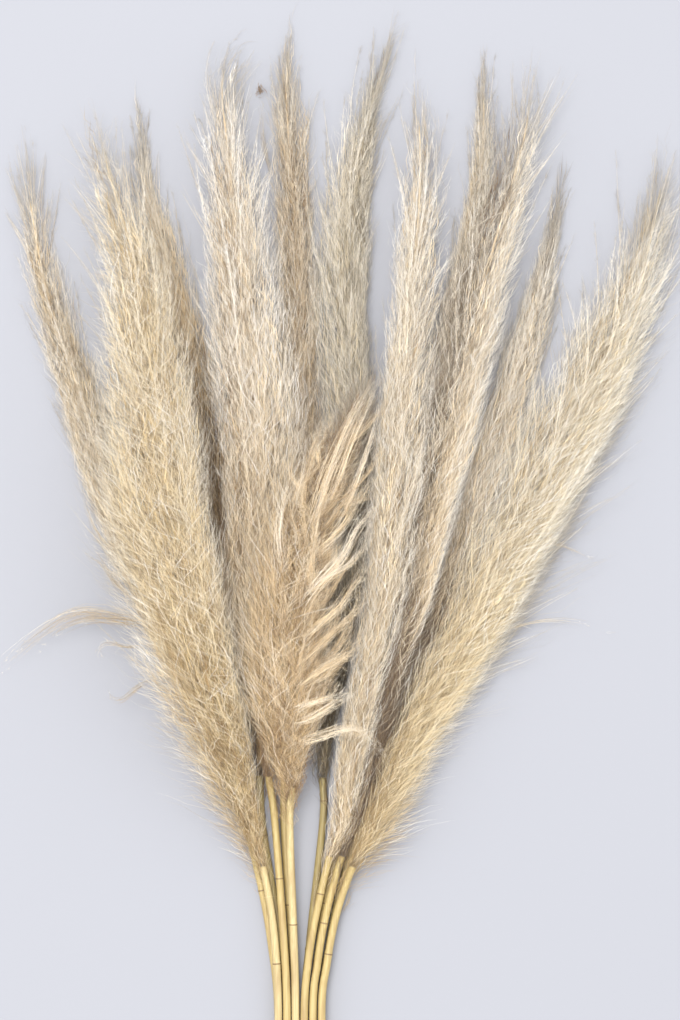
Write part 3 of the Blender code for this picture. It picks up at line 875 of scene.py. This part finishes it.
    # Painted shade: the coat's inner hairs are painted darker than its outer ones.
    shade = 0.36 + 0.18 * depth / reach + light + stalk.blend(start, tone)
    shade += chance.normal(0, 0.1, len(paths))
    warmth = 0.1 + stalk.blend(start, warm) - 0.4 * (depth - 0.5) + chance.normal(0, 0.1, len(paths))
    coat.add_threads(paths, chance.uniform(0.075, 0.14, len(paths))[:, None] * MM, shade, warmth, chance)
    coat.make("coat", material)

    fluff = Fluff(stalk, reach, stalk.bias)
    tufts = amount(2600, 250)
    root, tip, which, along = tufts_on(lines, tufts, hair, lean, chance, len(at_tips))
    hairs = len(root)
    shade = 0.52 + 0.2 * along + own_shade[which] + np.repeat(chance.normal(0, 0.09, tufts), HAIRS_A_TUFT)
    warmth = own_warmth[which] + 0.25 - 0.55 * along
    thick = chance.uniform(0.08, 0.14, hairs) * (1.1 - 0.35 * along) * MM
    fluff.add_hairs(root, tip, thick, shade + chance.normal(0, 0.06, hairs), warmth, chance)
    fluff.reach = LEFT_WHOLE
    curled_locks(fluff, wisps, WISPS_WARMTH, chance, light=0.1, tufted=1)
    for knot in knots:
        dry_knot(fluff, knot, chance)
    fluff.make("fluff", material)
    if curls:
        curly = Fluff(stalk, LEFT_WHOLE)
        curled_locks(curly, curls_round(stalk, SMALL_CURLS, chance), warm[1], chance, light=0.36, tufted=4)
        curled_locks(curly, curls, warm[1], chance, light=0.66, tufted=4)
        curly.make("curls", material)


def curls_round(stalk, count, chance):
    """Widths and middle lines of many smaller curled locks, which stand out from the plume and bend up it."""
    made = []
    t = np.linspace(0, 1, 6)
    for start in spots_along(stalk, count, chance, 5 * MM, 60 * MM):
        angle = math.acos(chance.uniform(-0.95, 1.0))
        half_width = float(stalk.at(start)[2])
        length = chance.uniform(35, 75) * MM
        out = half_width * (0.35 + chance.uniform(0.45, 0.85) * np.sin(0.5 * math.pi * t**0.9))
        turn = angle + chance.normal(0, 0.35) * t
        line = stalk.place(start + length * (0.35 * t + 0.55 * t**2), turn, out)
        line += chance.normal(0, 1.2 * MM, line.shape) * t[:, None]
        made.append((chance.uniform(4, 8), *(line / MM)))
    return made


def even_line(points, stops):
    """The same line with this many evenly spaced points."""
    reached = np.concatenate([[0.0], np.cumsum(np.linalg.norm(np.diff(points, axis=0), axis=1))])
    spots = np.linspace(0, reached[-1], stops)
    return np.stack([np.interp(spots, reached, points[:, i]) for i in range(points.shape[1])], axis=1)


HAIRS_PER_MM = 2.4
LONG_HAIR_POINTS = 8


def curled_locks(fluff, curls, warmth, chance, light, tufted):
    """Loose locks of long hairs that have dried into curls. Each is how wide it is where it leaves the
    plume, and the points of its middle line, in millimetres. It has this many tufts of short hairs for
    each long one."""
    t = np.linspace(0, 1, BRANCH_POINTS)
    for thickness, *points in curls:
        middle = even_line(smooth_line(points) * MM, BRANCH_POINTS)
        middle = middle + chance.normal(0, 3 * MM, 3) * t[:, None]
        middle = middle + chance.normal(0, 2 * MM, 3) * np.sin(2 * math.pi * t)[:, None]
        right, up = beside(unit(np.gradient(middle, axis=0)))
        hairs = int(5 + HAIRS_PER_MM * thickness)
        around = chance.random(hairs) * FULL_TURN
        out = 0.62 * thickness * MM * np.sqrt(chance.random(hairs))
        sway = around[:, None] + chance.normal(0, 1.3, hairs)[:, None] * t
        wave = 1 + 0.5 * np.sin(7 * t + chance.random(hairs)[:, None] * 6)
        spread = out[:, None] * (0.25 + 0.75 * (1 - t) ** 0.7) * wave
        lines = middle[None] + (spread * np.cos(sway))[..., None] * right
        lines = lines + (spread * np.sin(sway))[..., None] * up
        first = chance.uniform(0.0, 0.35, hairs)
        last = chance.uniform(0.6, 1.0, hairs)
        flick = chance.normal(0, 3.2 * MM, (hairs, 1, 3)) * (t**2)[None, :, None]
        lines = stretches(lines + flick, first, last, LONG_HAIR_POINTS)
        thick = np.tile(np.linspace(0.17, 0.07, LONG_HAIR_POINTS - 2) * MM, (hairs, 1))
        own_shade = chance.normal(light, 0.12) + chance.normal(0, 0.17, hairs)
        own_warmth = warmth - 0.3 + chance.normal(0, 0.15, hairs)
        fluff.add_threads(lines, thick, own_shade, own_warmth, chance)
        root, tip, which, along = tufts_on(middle[None] + flick, hairs * tufted, 9 * MM, 40, chance)
        thick = chance.uniform(0.07, 0.12, len(root)) * MM
        shade = own_shade[which] + 0.06 + 0.25 * along + chance.normal(0, 0.08, len(root))
        fluff.add_hairs(root, tip, thick, shade, np.full(len(root), warmth - 0.35), chance)


KNOT_HAIRS = 40
KNOT_SIZE = np.array([2.2, 3.4, 2.0])


def dry_knot(fluff, knot, chance):
    """A small knot of dead, dark brown hairs at the end of a bare branch."""
    ends = np.array(knot) * MM + chance.normal(0, 1, (KNOT_HAIRS, 2, 3)) * KNOT_SIZE * MM
    bend = ends.mean(axis=1) + chance.normal(0, 1.6 * MM, (KNOT_HAIRS, 3))
    paths = np.stack([ends[:, 0], bend, ends[:, 1]], axis=1)
    thick = np.full((KNOT_HAIRS, 1), 0.35 * MM)
    fluff.add_threads(paths, thick, np.full(KNOT_HAIRS, 0.02), np.full(KNOT_HAIRS, 2.5), chance)


outer_left = Stalk(
    1, "outer_left", reach=1.3, bias=0.1, thins_over=0.55,
    stem=[(-26, -600, 4.3), (-21.5, -440, 4.2), (-29, -360, 4.2), (-40, -300, 4.2), (-55, -240, 4.4)],
    plume=[
        (-66, -205, 5, 6), (-90, -140, 5.5, 14), (-122, -70, 6, 18), (-150, -10, 6, 20),
        (-185, 70, 6, 22), (-205, 130, 6, 23), (-225, 200, 6, 23), (-245, 260, 6, 24),
        (-260, 320, 6, 23), (-270, 380, 6, 20), (-280, 432, 5, 11),
    ],
)
reed(outer_left)
plume(
    outer_left, "fluff_grey_beige", open_tip=90, warm=(0.9, 0.5, 0.2), tone=(-0.13, 0.0, 0.08),
    colours=((0.30, 0.21, 0.12), (0.88, 0.80, 0.67), (0.96, 0.92, 0.86), (1.0, 0.87, 0.64)),
    tips=[
        (-295, 415, 120, 4), (-284, 436, 120, 0), (-275, 452, 130, 0), (-265, 445, 130, -3),
        (-253, 430, 120, -5), (-296, 370, 110, 5), (-246, 390, 100, -5),
    ],
)

# Stalk 02, broad left
# The widest plume, golden beige and at the front, on a reed of the upper layer. It is drier and more
# tousled than the rest, and a long wisp has worked loose from its left side.
broad_left = Stalk(
    2, "broad_left", reach=1.15, bias=(-0.5, -0.25, 0.1), thins_over=0.46,
    stem=[(-25, -618, 13.4), (-21.5, -440, 12.8), (-26, -350, 13)],
    plume=[
        (-37, -285, 15, 6), (-48, -240, 23, 15), (-68, -160, 50, 32), (-92, -80, 74, 46),
        (-110, 0, 77, 50), (-130, 80, 64, 52), (-140, 160, 52, 50), (-152, 240, 43, 46),
        (-165, 320, 37, 38), (-188, 400, 30, 30), (-208, 472, 24, 12),
    ],
)
reed(broad_left, straw=STRAW_PALE)
plume(
    broad_left, "fluff_golden_beige", open_tip=100, warm=(1.1, 0.65, 0.1), tone=(-0.3, 0.02, 0.04),
    flare=-0.9, hollow_shading=0.26, edge=1.4, lean=24, cross=30, stray=0.22,
    colours=((0.30, 0.19, 0.075), (0.94, 0.85, 0.68), (0.98, 0.95, 0.89), (1.0, 0.87, 0.60)),
    tips=[
        (-225, 449, 150, 5), (-217, 462, 150, 3), (-208, 475, 150, 0), (-195, 440, 140, -4),
        (-177, 445, 150, -6), (-170, 415, 130, -6), (-229, 400, 120, 6), (-234, 380, 110, 5),
        (-152, 400, 120, -6),
    ],
    wisps=[
        (13, (-138, -56, 66), (-165, -46, 60), (-192, -37, 54), (-225, -32, 45), (-262, -52, 30),
         (-299, -88, 18)),
        (9, (-130, -40, 66), (-160, -38, 60), (-195, -36, 54), (-225, -42, 45), (-258, -62, 32)),
        (3, (-150, -62, 52), (-172, -64, 46), (-190, -64, 42), (-198, -72, 40), (-192, -79, 38)),
        (4, (-138, -96, 46), (-158, -104, 40), (-174, -118, 36), (-184, -116, 34), (-187, -106, 32)),
        (6, (-172, 10, 60), (-194, 38, 55), (-207, 64, 50), (-213, 90, 46)),
        (6, (-164, -20, 60), (-186, 6, 55), (-204, 36, 50)),
    ],
)

# Stalk 03, thin brown
# A thin, dense, brown plume in the gap behind its two big neighbours, with painted shade low down.
thin_brown = Stalk(
    3, "thin_brown", reach=1.6, bias=(0.0, 0.1, 0.25, 0.2, 0.0), thins_over=0.29,
    stem=[(-16, -632, 4.3), (-12.9, -440, 4.2), (-19, -360, 4.2), (-29, -300, 4.2), (-38, -240, 4.2)],
    plume=[
        (-40, -195, 4.2, 5), (-42, -140, 4.4, 9), (-60, -60, 4.4, 12), (-78, 40, 4.4, 13),
        (-95, 140, 4.4, 13), (-110, 230, 4.4, 13), (-135, 320, 4.4, 13), (-155, 400, 4.4, 10),
        (-160, 464, 4.4, 5),
    ],
)
reed(thin_brown, straw=STRAW_OLIVE)
plume(
    thin_brown, "fluff_brown", open_tip=20, warm=(1.8, 0.9, 0.2), lean=14,
    tone=(-1.1, -0.7, -0.15, 0.4, 0.6),
    colours=((0.13, 0.075, 0.035), (0.66, 0.54, 0.38), (0.90, 0.84, 0.74), (1.0, 0.86, 0.62)),
    tips=[(-160, 466, 110, 0), (-156, 458, 100, 0), (-141, 431, 110, -3), (-163, 440, 90, 1)],
)

# Stalk 04, arched cream
# A very pale plume with a warm core. Its tip has bent over to the right under its own weight.
arched_cream = Stalk(
    4, "arched_cream", reach=1.25, bias=(0.8, 0.4, 0.12, 0.05, 0.0), thins_over=0.55,
    stem=[(-15, -590, 13.4), (-12.9, -440, 12.8), (-16, -360, 13), (-25, -240, 17)],
    plume=[
        (-31, -195, 22, 6), (-36, -120, 33, 27), (-50, -20, 38, 38), (-43, 80, 36, 43),
        (-46, 180, 34, 44), (-55, 240, 30, 44), (-62, 330, 26, 43), (-72, 430, 20, 33),
        (-78, 490, 16, 20), (-71, 520, 13, 12), (-59, 536, 11, 8), (-42, 534, 10, 5),
    ],
)
reed(arched_cream)
# Its foot and its left side are painted darker, as painted shade in the valley beside the broad plume on its
# left.
plume(
    arched_cream, "fluff_cream", open_tip=110, warm=(1.8, 0.55, 0.0), tone=(-1.2, -0.04, 0.05, 0.1, 0.16),
    hollow_shading=0.26, side=(0.4, 0.3, 0.12, 0.1, 0.1),
    colours=((0.28, 0.17, 0.07), (0.97, 0.91, 0.81), (0.99, 0.97, 0.94), (1.0, 0.87, 0.65)),
    tips=[
        (-99, 485, 140, 3), (-117, 441, 130, 6), (-119, 389, 120, 6), (-90, 500, 130, 2),
        (-61, 532, 130, -2), (-45, 531, 120, -4), (-38, 520, 110, -6), (-50, 500, 120, -6),
        (-25, 450, 120, -6), (-20, 420, 110, -6),
    ],
)

# Stalk 05, dense tan
# A narrow, dense, tan plume behind, with a broken, bare branch end that carries a dark dry knot.
dense_tan = Stalk(
    5, "dense_tan", reach=1.4, thins_over=0.34,
    stem=[(-6, -610, 4.3), (-4.3, -440, 4.2), (-8, -360, 4.2), (-16, -240, 4.2)],
    plume=[
        (-13, -165, 4.5, 6), (-8, -110, 5.5, 12), (-3, -50, 5.5, 17), (0, 0, 5.5, 19),
        (4, 60, 5.5, 19), (5, 120, 5.5, 19), (0, 230, 5.5, 18), (-4, 340, 5.5, 17),
        (-8, 400, 6, 20), (-12, 450, 7, 21), (-14, 505, 6, 12), (-10, 554, 5, 5),
    ],
)
reed(dense_tan)
plume(
    dense_tan, "fluff_tan", open_tip=50, warm=(0.8, 0.6, 0.2), tone=(-0.3, 0.02, 0.0, -0.04, -0.05, 0.35),
    hollow_shading=0.28,
    colours=((0.18, 0.11, 0.055), (0.80, 0.70, 0.55), (0.94, 0.89, 0.80), (1.0, 0.86, 0.64)),
    tips=[
        (-10, 554, 120, 0), (-15, 540, 110, 2), (-25, 520, 110, 4), (-2, 512, 100, -3),
        (-32, 480, 100, 4), (8, 470, 100, -4),
    ],
    wisps=[(4, (-26, 395, 12), (-37, 440, 12), (-38, 470, 12), (-40, 490, 12))],
    knots=[(-40, 489, 12)],
)

# Stalk 06, curly front
# A short, messy plume at the front. Its branches have dried into curved locks that sweep up to the right.
curly_front = Stalk(
    6, "curly_front", reach=1.05, bias=(-0.45, -0.5, -0.2), thins_over=0.86,
    stem=[(-5, -628, 13.4), (-4.3, -440, 12.8), (-6, -360, 14), (-10, -240, 26)],
    plume=[
        (-7, -205, 36, 6), (-5, -160, 55, 24), (-2, -120, 68, 38), (3, -20, 77, 46),
        (18, 70, 71, 43), (45, 140, 56, 28), (75, 204, 45, 9),
    ],
)
reed(curly_front, straw=STRAW_PALE)
# Its body under the curls is painted darker, most towards the tip, as painted shade in the hollows beneath
# them.
plume(
    curly_front, "fluff_curly_cream", edge=1.1, open_tip=60, warm=(1.1, 0.75, 0.1),
    tone=(-0.26, -0.22, -0.42), hair=13 * MM, lean=28, cross=32, stray=0.22, hollow_shading=0.46,
    colours=((0.20, 0.11, 0.045), (0.88, 0.74, 0.52), (0.99, 0.96, 0.90), (1.0, 0.85, 0.60)),
    tips=[
        (80, 204, 150, 10), (50, 150, 140, 8), (-35, 60, 120, -8), (-45, 0, 110, -8), (10, 120, 130, 4),
        (25, 165, 140, 4),
    ],
    curls=[
        (13, (8, 30, 98), (22, 85, 98), (36, 130, 88), (50, 165, 76), (66, 188, 66), (79, 210, 56)),
        (8, (20, 60, 98), (40, 100, 92), (54, 140, 82), (68, 172, 70), (79, 204, 58)),
        (7, (30, 40, 98), (48, 72, 92), (58, 104, 84), (66, 140, 74), (78, 186, 62)),
        (11, (-2, -30, 103), (18, 0, 106), (40, 24, 102), (52, 48, 94), (66, 68, 84), (90, 86, 72)),
        (9, (4, 20, 102), (26, 40, 102), (44, 60, 92), (56, 84, 82), (68, 110, 72)),
        (10, (0, -62, 103), (22, -40, 106), (42, -22, 100), (54, -4, 90), (66, 10, 80), (65, 28, 74)),
        (8, (2, -18, 104), (24, 0, 106), (42, 12, 98), (56, 30, 88), (64, 52, 80)),
        (11, (-4, -88, 100), (20, -66, 104), (38, -44, 98), (52, -28, 90), (58, -8, 82)),
        (10, (-8, -108, 96), (14, -92, 102), (34, -78, 98), (48, -70, 92), (58, -56, 86)),
        (6, (6, -100, 100), (26, -92, 102), (42, -84, 96), (54, -80, 90)),
        (8, (-6, -128, 92), (16, -118, 98), (36, -110, 94), (46, -104, 90)),
        (8, (-8, -140, 88), (14, -132, 94), (34, -126, 92), (48, -120, 88), (58, -120, 84)),
        (9, (-14, -158, 76), (10, -152, 86), (30, -144, 88), (50, -141, 84), (68, -148, 76), (85, -172, 64)),
        (8, (-12, 0, 102), (-20, 40, 98), (-18, 76, 90), (-8, 104, 84)),
        (8, (10, -10, 104), (14, 34, 102), (26, 70, 96), (30, 104, 88)),
    ],
)

# Stalk 07, grey green
# A tall plume behind, cut while it was still green, so that it dried to a greyish olive.
grey_green = Stalk(
    7, "grey_green", reach=1.2, bias=-0.45, thins_over=0.39,
    stem=[(6, -640, 4.3), (4.3, -440, 4.2), (10, -360, 4.2), (23, -240, 4.4)],
    plume=[
        (23, -197, 5, 6), (27, -150, 6, 13), (33, -100, 7, 19), (40, -60, 7, 23),
        (58, 40, 8, 25), (60, 140, 8, 26), (50, 250, 8, 29), (52, 330, 8, 31),
        (62, 430, 7, 22), (84, 515, 6, 14), (98, 562, 5, 5),
    ],
)
reed(grey_green, straw=STRAW_OLIVE)
plume(
    grey_green, "fluff_grey_green", open_tip=60, warm=(0.8, 0.35, 0.2), hollow_shading=0.36, side=-0.12,
    tone=(-0.85, -0.25, 0.02, 0.06, 0.02),
    colours=((0.11, 0.08, 0.04), (0.82, 0.75, 0.62), (0.95, 0.91, 0.84), (1.0, 0.89, 0.68)),
    tips=[
        (98, 563, 130, 0), (90, 545, 120, 2), (75, 520, 130, 3), (65, 505, 120, 4), (50, 465, 120, 5),
        (45, 450, 120, 6), (15, 385, 120, 7), (20, 350, 110, 6), (98, 480, 110, -4), (90, 430, 110, -6),
    ],
)

# Stalk 08, tall cream
# A smooth, light cream plume at the front, with long straight streaks.
tall_cream = Stalk(
    8, "tall_cream", reach=1.3, bias=(0.0, 0.25, 0.2), thins_over=0.51,
    stem=[(7, -604, 13.4), (4.3, -440, 12.8), (8.5, -380, 12.8), (17, -330, 13)],
    plume=[
        (30, -275, 15, 6), (43, -240, 20, 10), (50, -180, 28, 13), (65, -100, 38, 15),
        (80, -20, 47, 20), (91, 80, 48, 24), (100, 180, 41, 25), (110, 280, 29, 26),
        (118, 360, 20, 29), (120, 430, 16, 26), (115, 508, 12, 9),
    ],
)
reed(tall_cream)
plume(
    tall_cream, "fluff_light_cream", open_tip=100, warm=(0.9, 0.5, 0.2), tone=(-0.06, 0.08, 0.1),
    hollow_shading=0.22,
    colours=((0.36, 0.25, 0.13), (0.97, 0.91, 0.81), (0.99, 0.97, 0.93), (1.0, 0.88, 0.66)),
    tips=[
        (113, 510, 130, 0), (125, 475, 130, -3), (135, 455, 130, -4), (155, 430, 130, -8),
        (100, 470, 120, 4), (92, 430, 120, 5), (148, 390, 110, -5),
    ],
)

# Stalk 09, thin pale
# A thin pale plume behind, of which little more than the straight tip shows.
thin_pale = Stalk(
    9, "thin_pale", reach=1.2, thins_over=0.34,
    stem=[(17, -596, 4.3), (12.9, -440, 4.2), (20, -360, 4.2), (31, -300, 4.2), (44, -240, 4.2)],
    plume=[
        (62, -180, 4.2, 5), (78, -100, 4.4, 9), (97, -20, 4.4, 12), (122, 80, 4.4, 12),
        (139, 180, 4.4, 12), (152, 250, 4.4, 12), (167, 330, 4.4, 13), (179, 390, 4.4, 13),
        (183, 440, 4.4, 11), (184, 536, 4.4, 5),
    ],
)
reed(thin_pale)
plume(
    thin_pale, "fluff_pale", open_tip=110, warm=(0.8, 0.5, 0.2),
    colours=((0.30, 0.22, 0.13), (0.90, 0.83, 0.72), (0.97, 0.94, 0.88), (1.0, 0.89, 0.68)),
    tips=[(184, 537, 130, 0), (180, 510, 120, 2), (190, 480, 110, -3), (170, 450, 110, 4)],
)

# Stalk 10, pink beige
# A tall plume with a pinkish cast, widely open at its tip, with painted shade low down and on its left side.
pink_beige = Stalk(
    10, "pink_beige", reach=1.35, bias=(0.0, -0.2, -0.3, -0.15, 0.0), thins_over=0.44,
    stem=[(18, -636, 13.4), (13, -440, 12.8), (18, -380, 12.8), (27, -330, 13)],
    plume=[
        (42, -275, 14.5, 6), (56, -240, 16, 9), (71, -180, 20, 12), (89, -100, 26, 13),
        (112, -20, 30, 20), (130, 60, 32, 25), (147, 130, 33, 29), (163, 200, 32, 31),
        (180, 280, 31, 33), (195, 340, 27, 31), (213, 400, 22, 30), (227, 460, 18, 22),
        (232, 522, 14, 10),
    ],
)
reed(pink_beige)
plume(
    pink_beige, "fluff_pink_beige", open_tip=120, warm=(1.8, 0.9, 0.4, 0.2), hollow_shading=0.34,
    side=(0.0, 0.35, 0.5, 0.4, 0.2), flare=0.5, tone=(-1.3, -1.1, -0.05, 0.04, 0.04, 0.06, 0.08),
    colours=((0.13, 0.08, 0.04), (0.94, 0.87, 0.75), (0.98, 0.95, 0.89), (1.0, 0.86, 0.64)),
    tips=[
        (210, 515, 140, 3), (229, 522, 140, 0), (236, 520, 140, -1), (258, 508, 150, -6),
        (275, 500, 160, -10), (250, 480, 130, -4), (200, 470, 120, 5), (262, 440, 130, -6),
        (185, 430, 120, 5),
    ],
)

# Stalk 11, thin taupe
# A smooth, pointed, grey taupe plume behind, with dark brown painted shade near its foot.
thin_taupe = Stalk(
    11, "thin_taupe", reach=1.3, bias=(0.3, 0.5, 0.5, 0.1, 0.0), thins_over=0.23,
    stem=[(29, -625, 4.3), (21.5, -440, 4.2), (30, -360, 4.2), (43, -300, 4.2), (62, -240, 4.2)],
    plume=[
        (74, -200, 4.8, 6), (90, -140, 5, 10), (112, -80, 5, 12), (135, -30, 5.5, 14),
        (153, 20, 5.5, 15), (169, 75, 6, 18), (187, 130, 6.5, 20), (206, 180, 6, 18),
        (221, 225, 6, 17), (233, 265, 5.5, 14), (243, 305, 5, 12), (253, 350, 4.5, 7),
        (260, 392, 4, 3),
    ],
)
reed(thin_taupe, straw=STRAW_OLIVE)
plume(
    thin_taupe, "fluff_taupe", edge=1.1, open_tip=20, warm=(1.8, 0.6, 0.2), hollow_shading=0.3, lean=12, cross=10,
    stray=0.1, tone=(-1.3, -1.0, -0.2, 0.1, 0.18, 0.12, 0.05),
    colours=((0.12, 0.075, 0.04), (0.88, 0.81, 0.70), (0.96, 0.93, 0.87), (1.0, 0.87, 0.66)),
    tips=[(260, 390, 120, 0), (256, 370, 110, 2), (248, 340, 100, 3)],
)

# Stalk 12, broad right
# A broad, golden cream plume at the front, on the reed that leans furthest over. Many of its side
# branches stand well off it, and its tip is split into several narrow ones.
broad_right = Stalk(
    12, "broad_right", reach=1.2, bias=(0.3, -0.15, -0.5, -0.3, 0.0), thins_over=0.53,
    stem=[(29, -612, 13.4), (21.7, -440, 12.8), (27.5, -380, 13), (37.5, -330, 14)],
    plume=[
        (53, -285, 19, 6), (74, -240, 30, 12), (90, -205, 28, 16), (115, -155, 24, 21),
        (143, -108, 18, 27), (180, -45, 11, 33), (212, 15, 11, 40), (245, 75, 12, 46),
        (270, 130, 12, 50), (294, 180, 12, 49), (317, 235, 12, 44), (336, 290, 11, 38),
        (350, 340, 9, 31), (360, 390, 7, 22), (368, 442, 6, 9),
    ],
)
reed(broad_right)
plume(
    broad_right, "fluff_golden_cream", edge=1.45, open_tip=130, hair=13 * MM, flare=2.0,
    warm=(1.6, 0.5, 0.05), tone=(-0.48, 0.05, 0.2, 0.14, 0.08), side=0.18,
    colours=((0.40, 0.29, 0.14), (0.97, 0.91, 0.80), (0.99, 0.97, 0.92), (1.0, 0.88, 0.63)),
    tips=[
        (340, 390, 150, 6), (358, 440, 150, 3), (376, 430, 150, -4), (366, 415, 140, 0), (325, 350, 130, 6),
        (384, 380, 140, -6), (312, 310, 120, 6), (340, 140, 150, -6), (310, 120, 140, -6),
        (325, 90, 150, -8), (290, 60, 140, -6), (385, 330, 130, -6), (352, 200, 150, -10),
        (366, 255, 150, -10), (378, 295, 140, -8), (305, 25, 150, -10), (280, -5, 140, -10),
        (258, -45, 130, -10), (330, 165, 150, -12), (240, -75, 120, -8), (345, 230, 130, -8),
    ],
    wisps=[
        (3, (225, 22, 14), (248, 35, 14), (272, 33, 12), (292, 24, 9)),
        (3, (178, -60, 14), (210, -45, 14), (245, -37, 12), (278, -39, 10), (308, -47, 8)),
        (3, (195, -35, 14), (225, -16, 13), (255, -10, 11)),
    ],
)
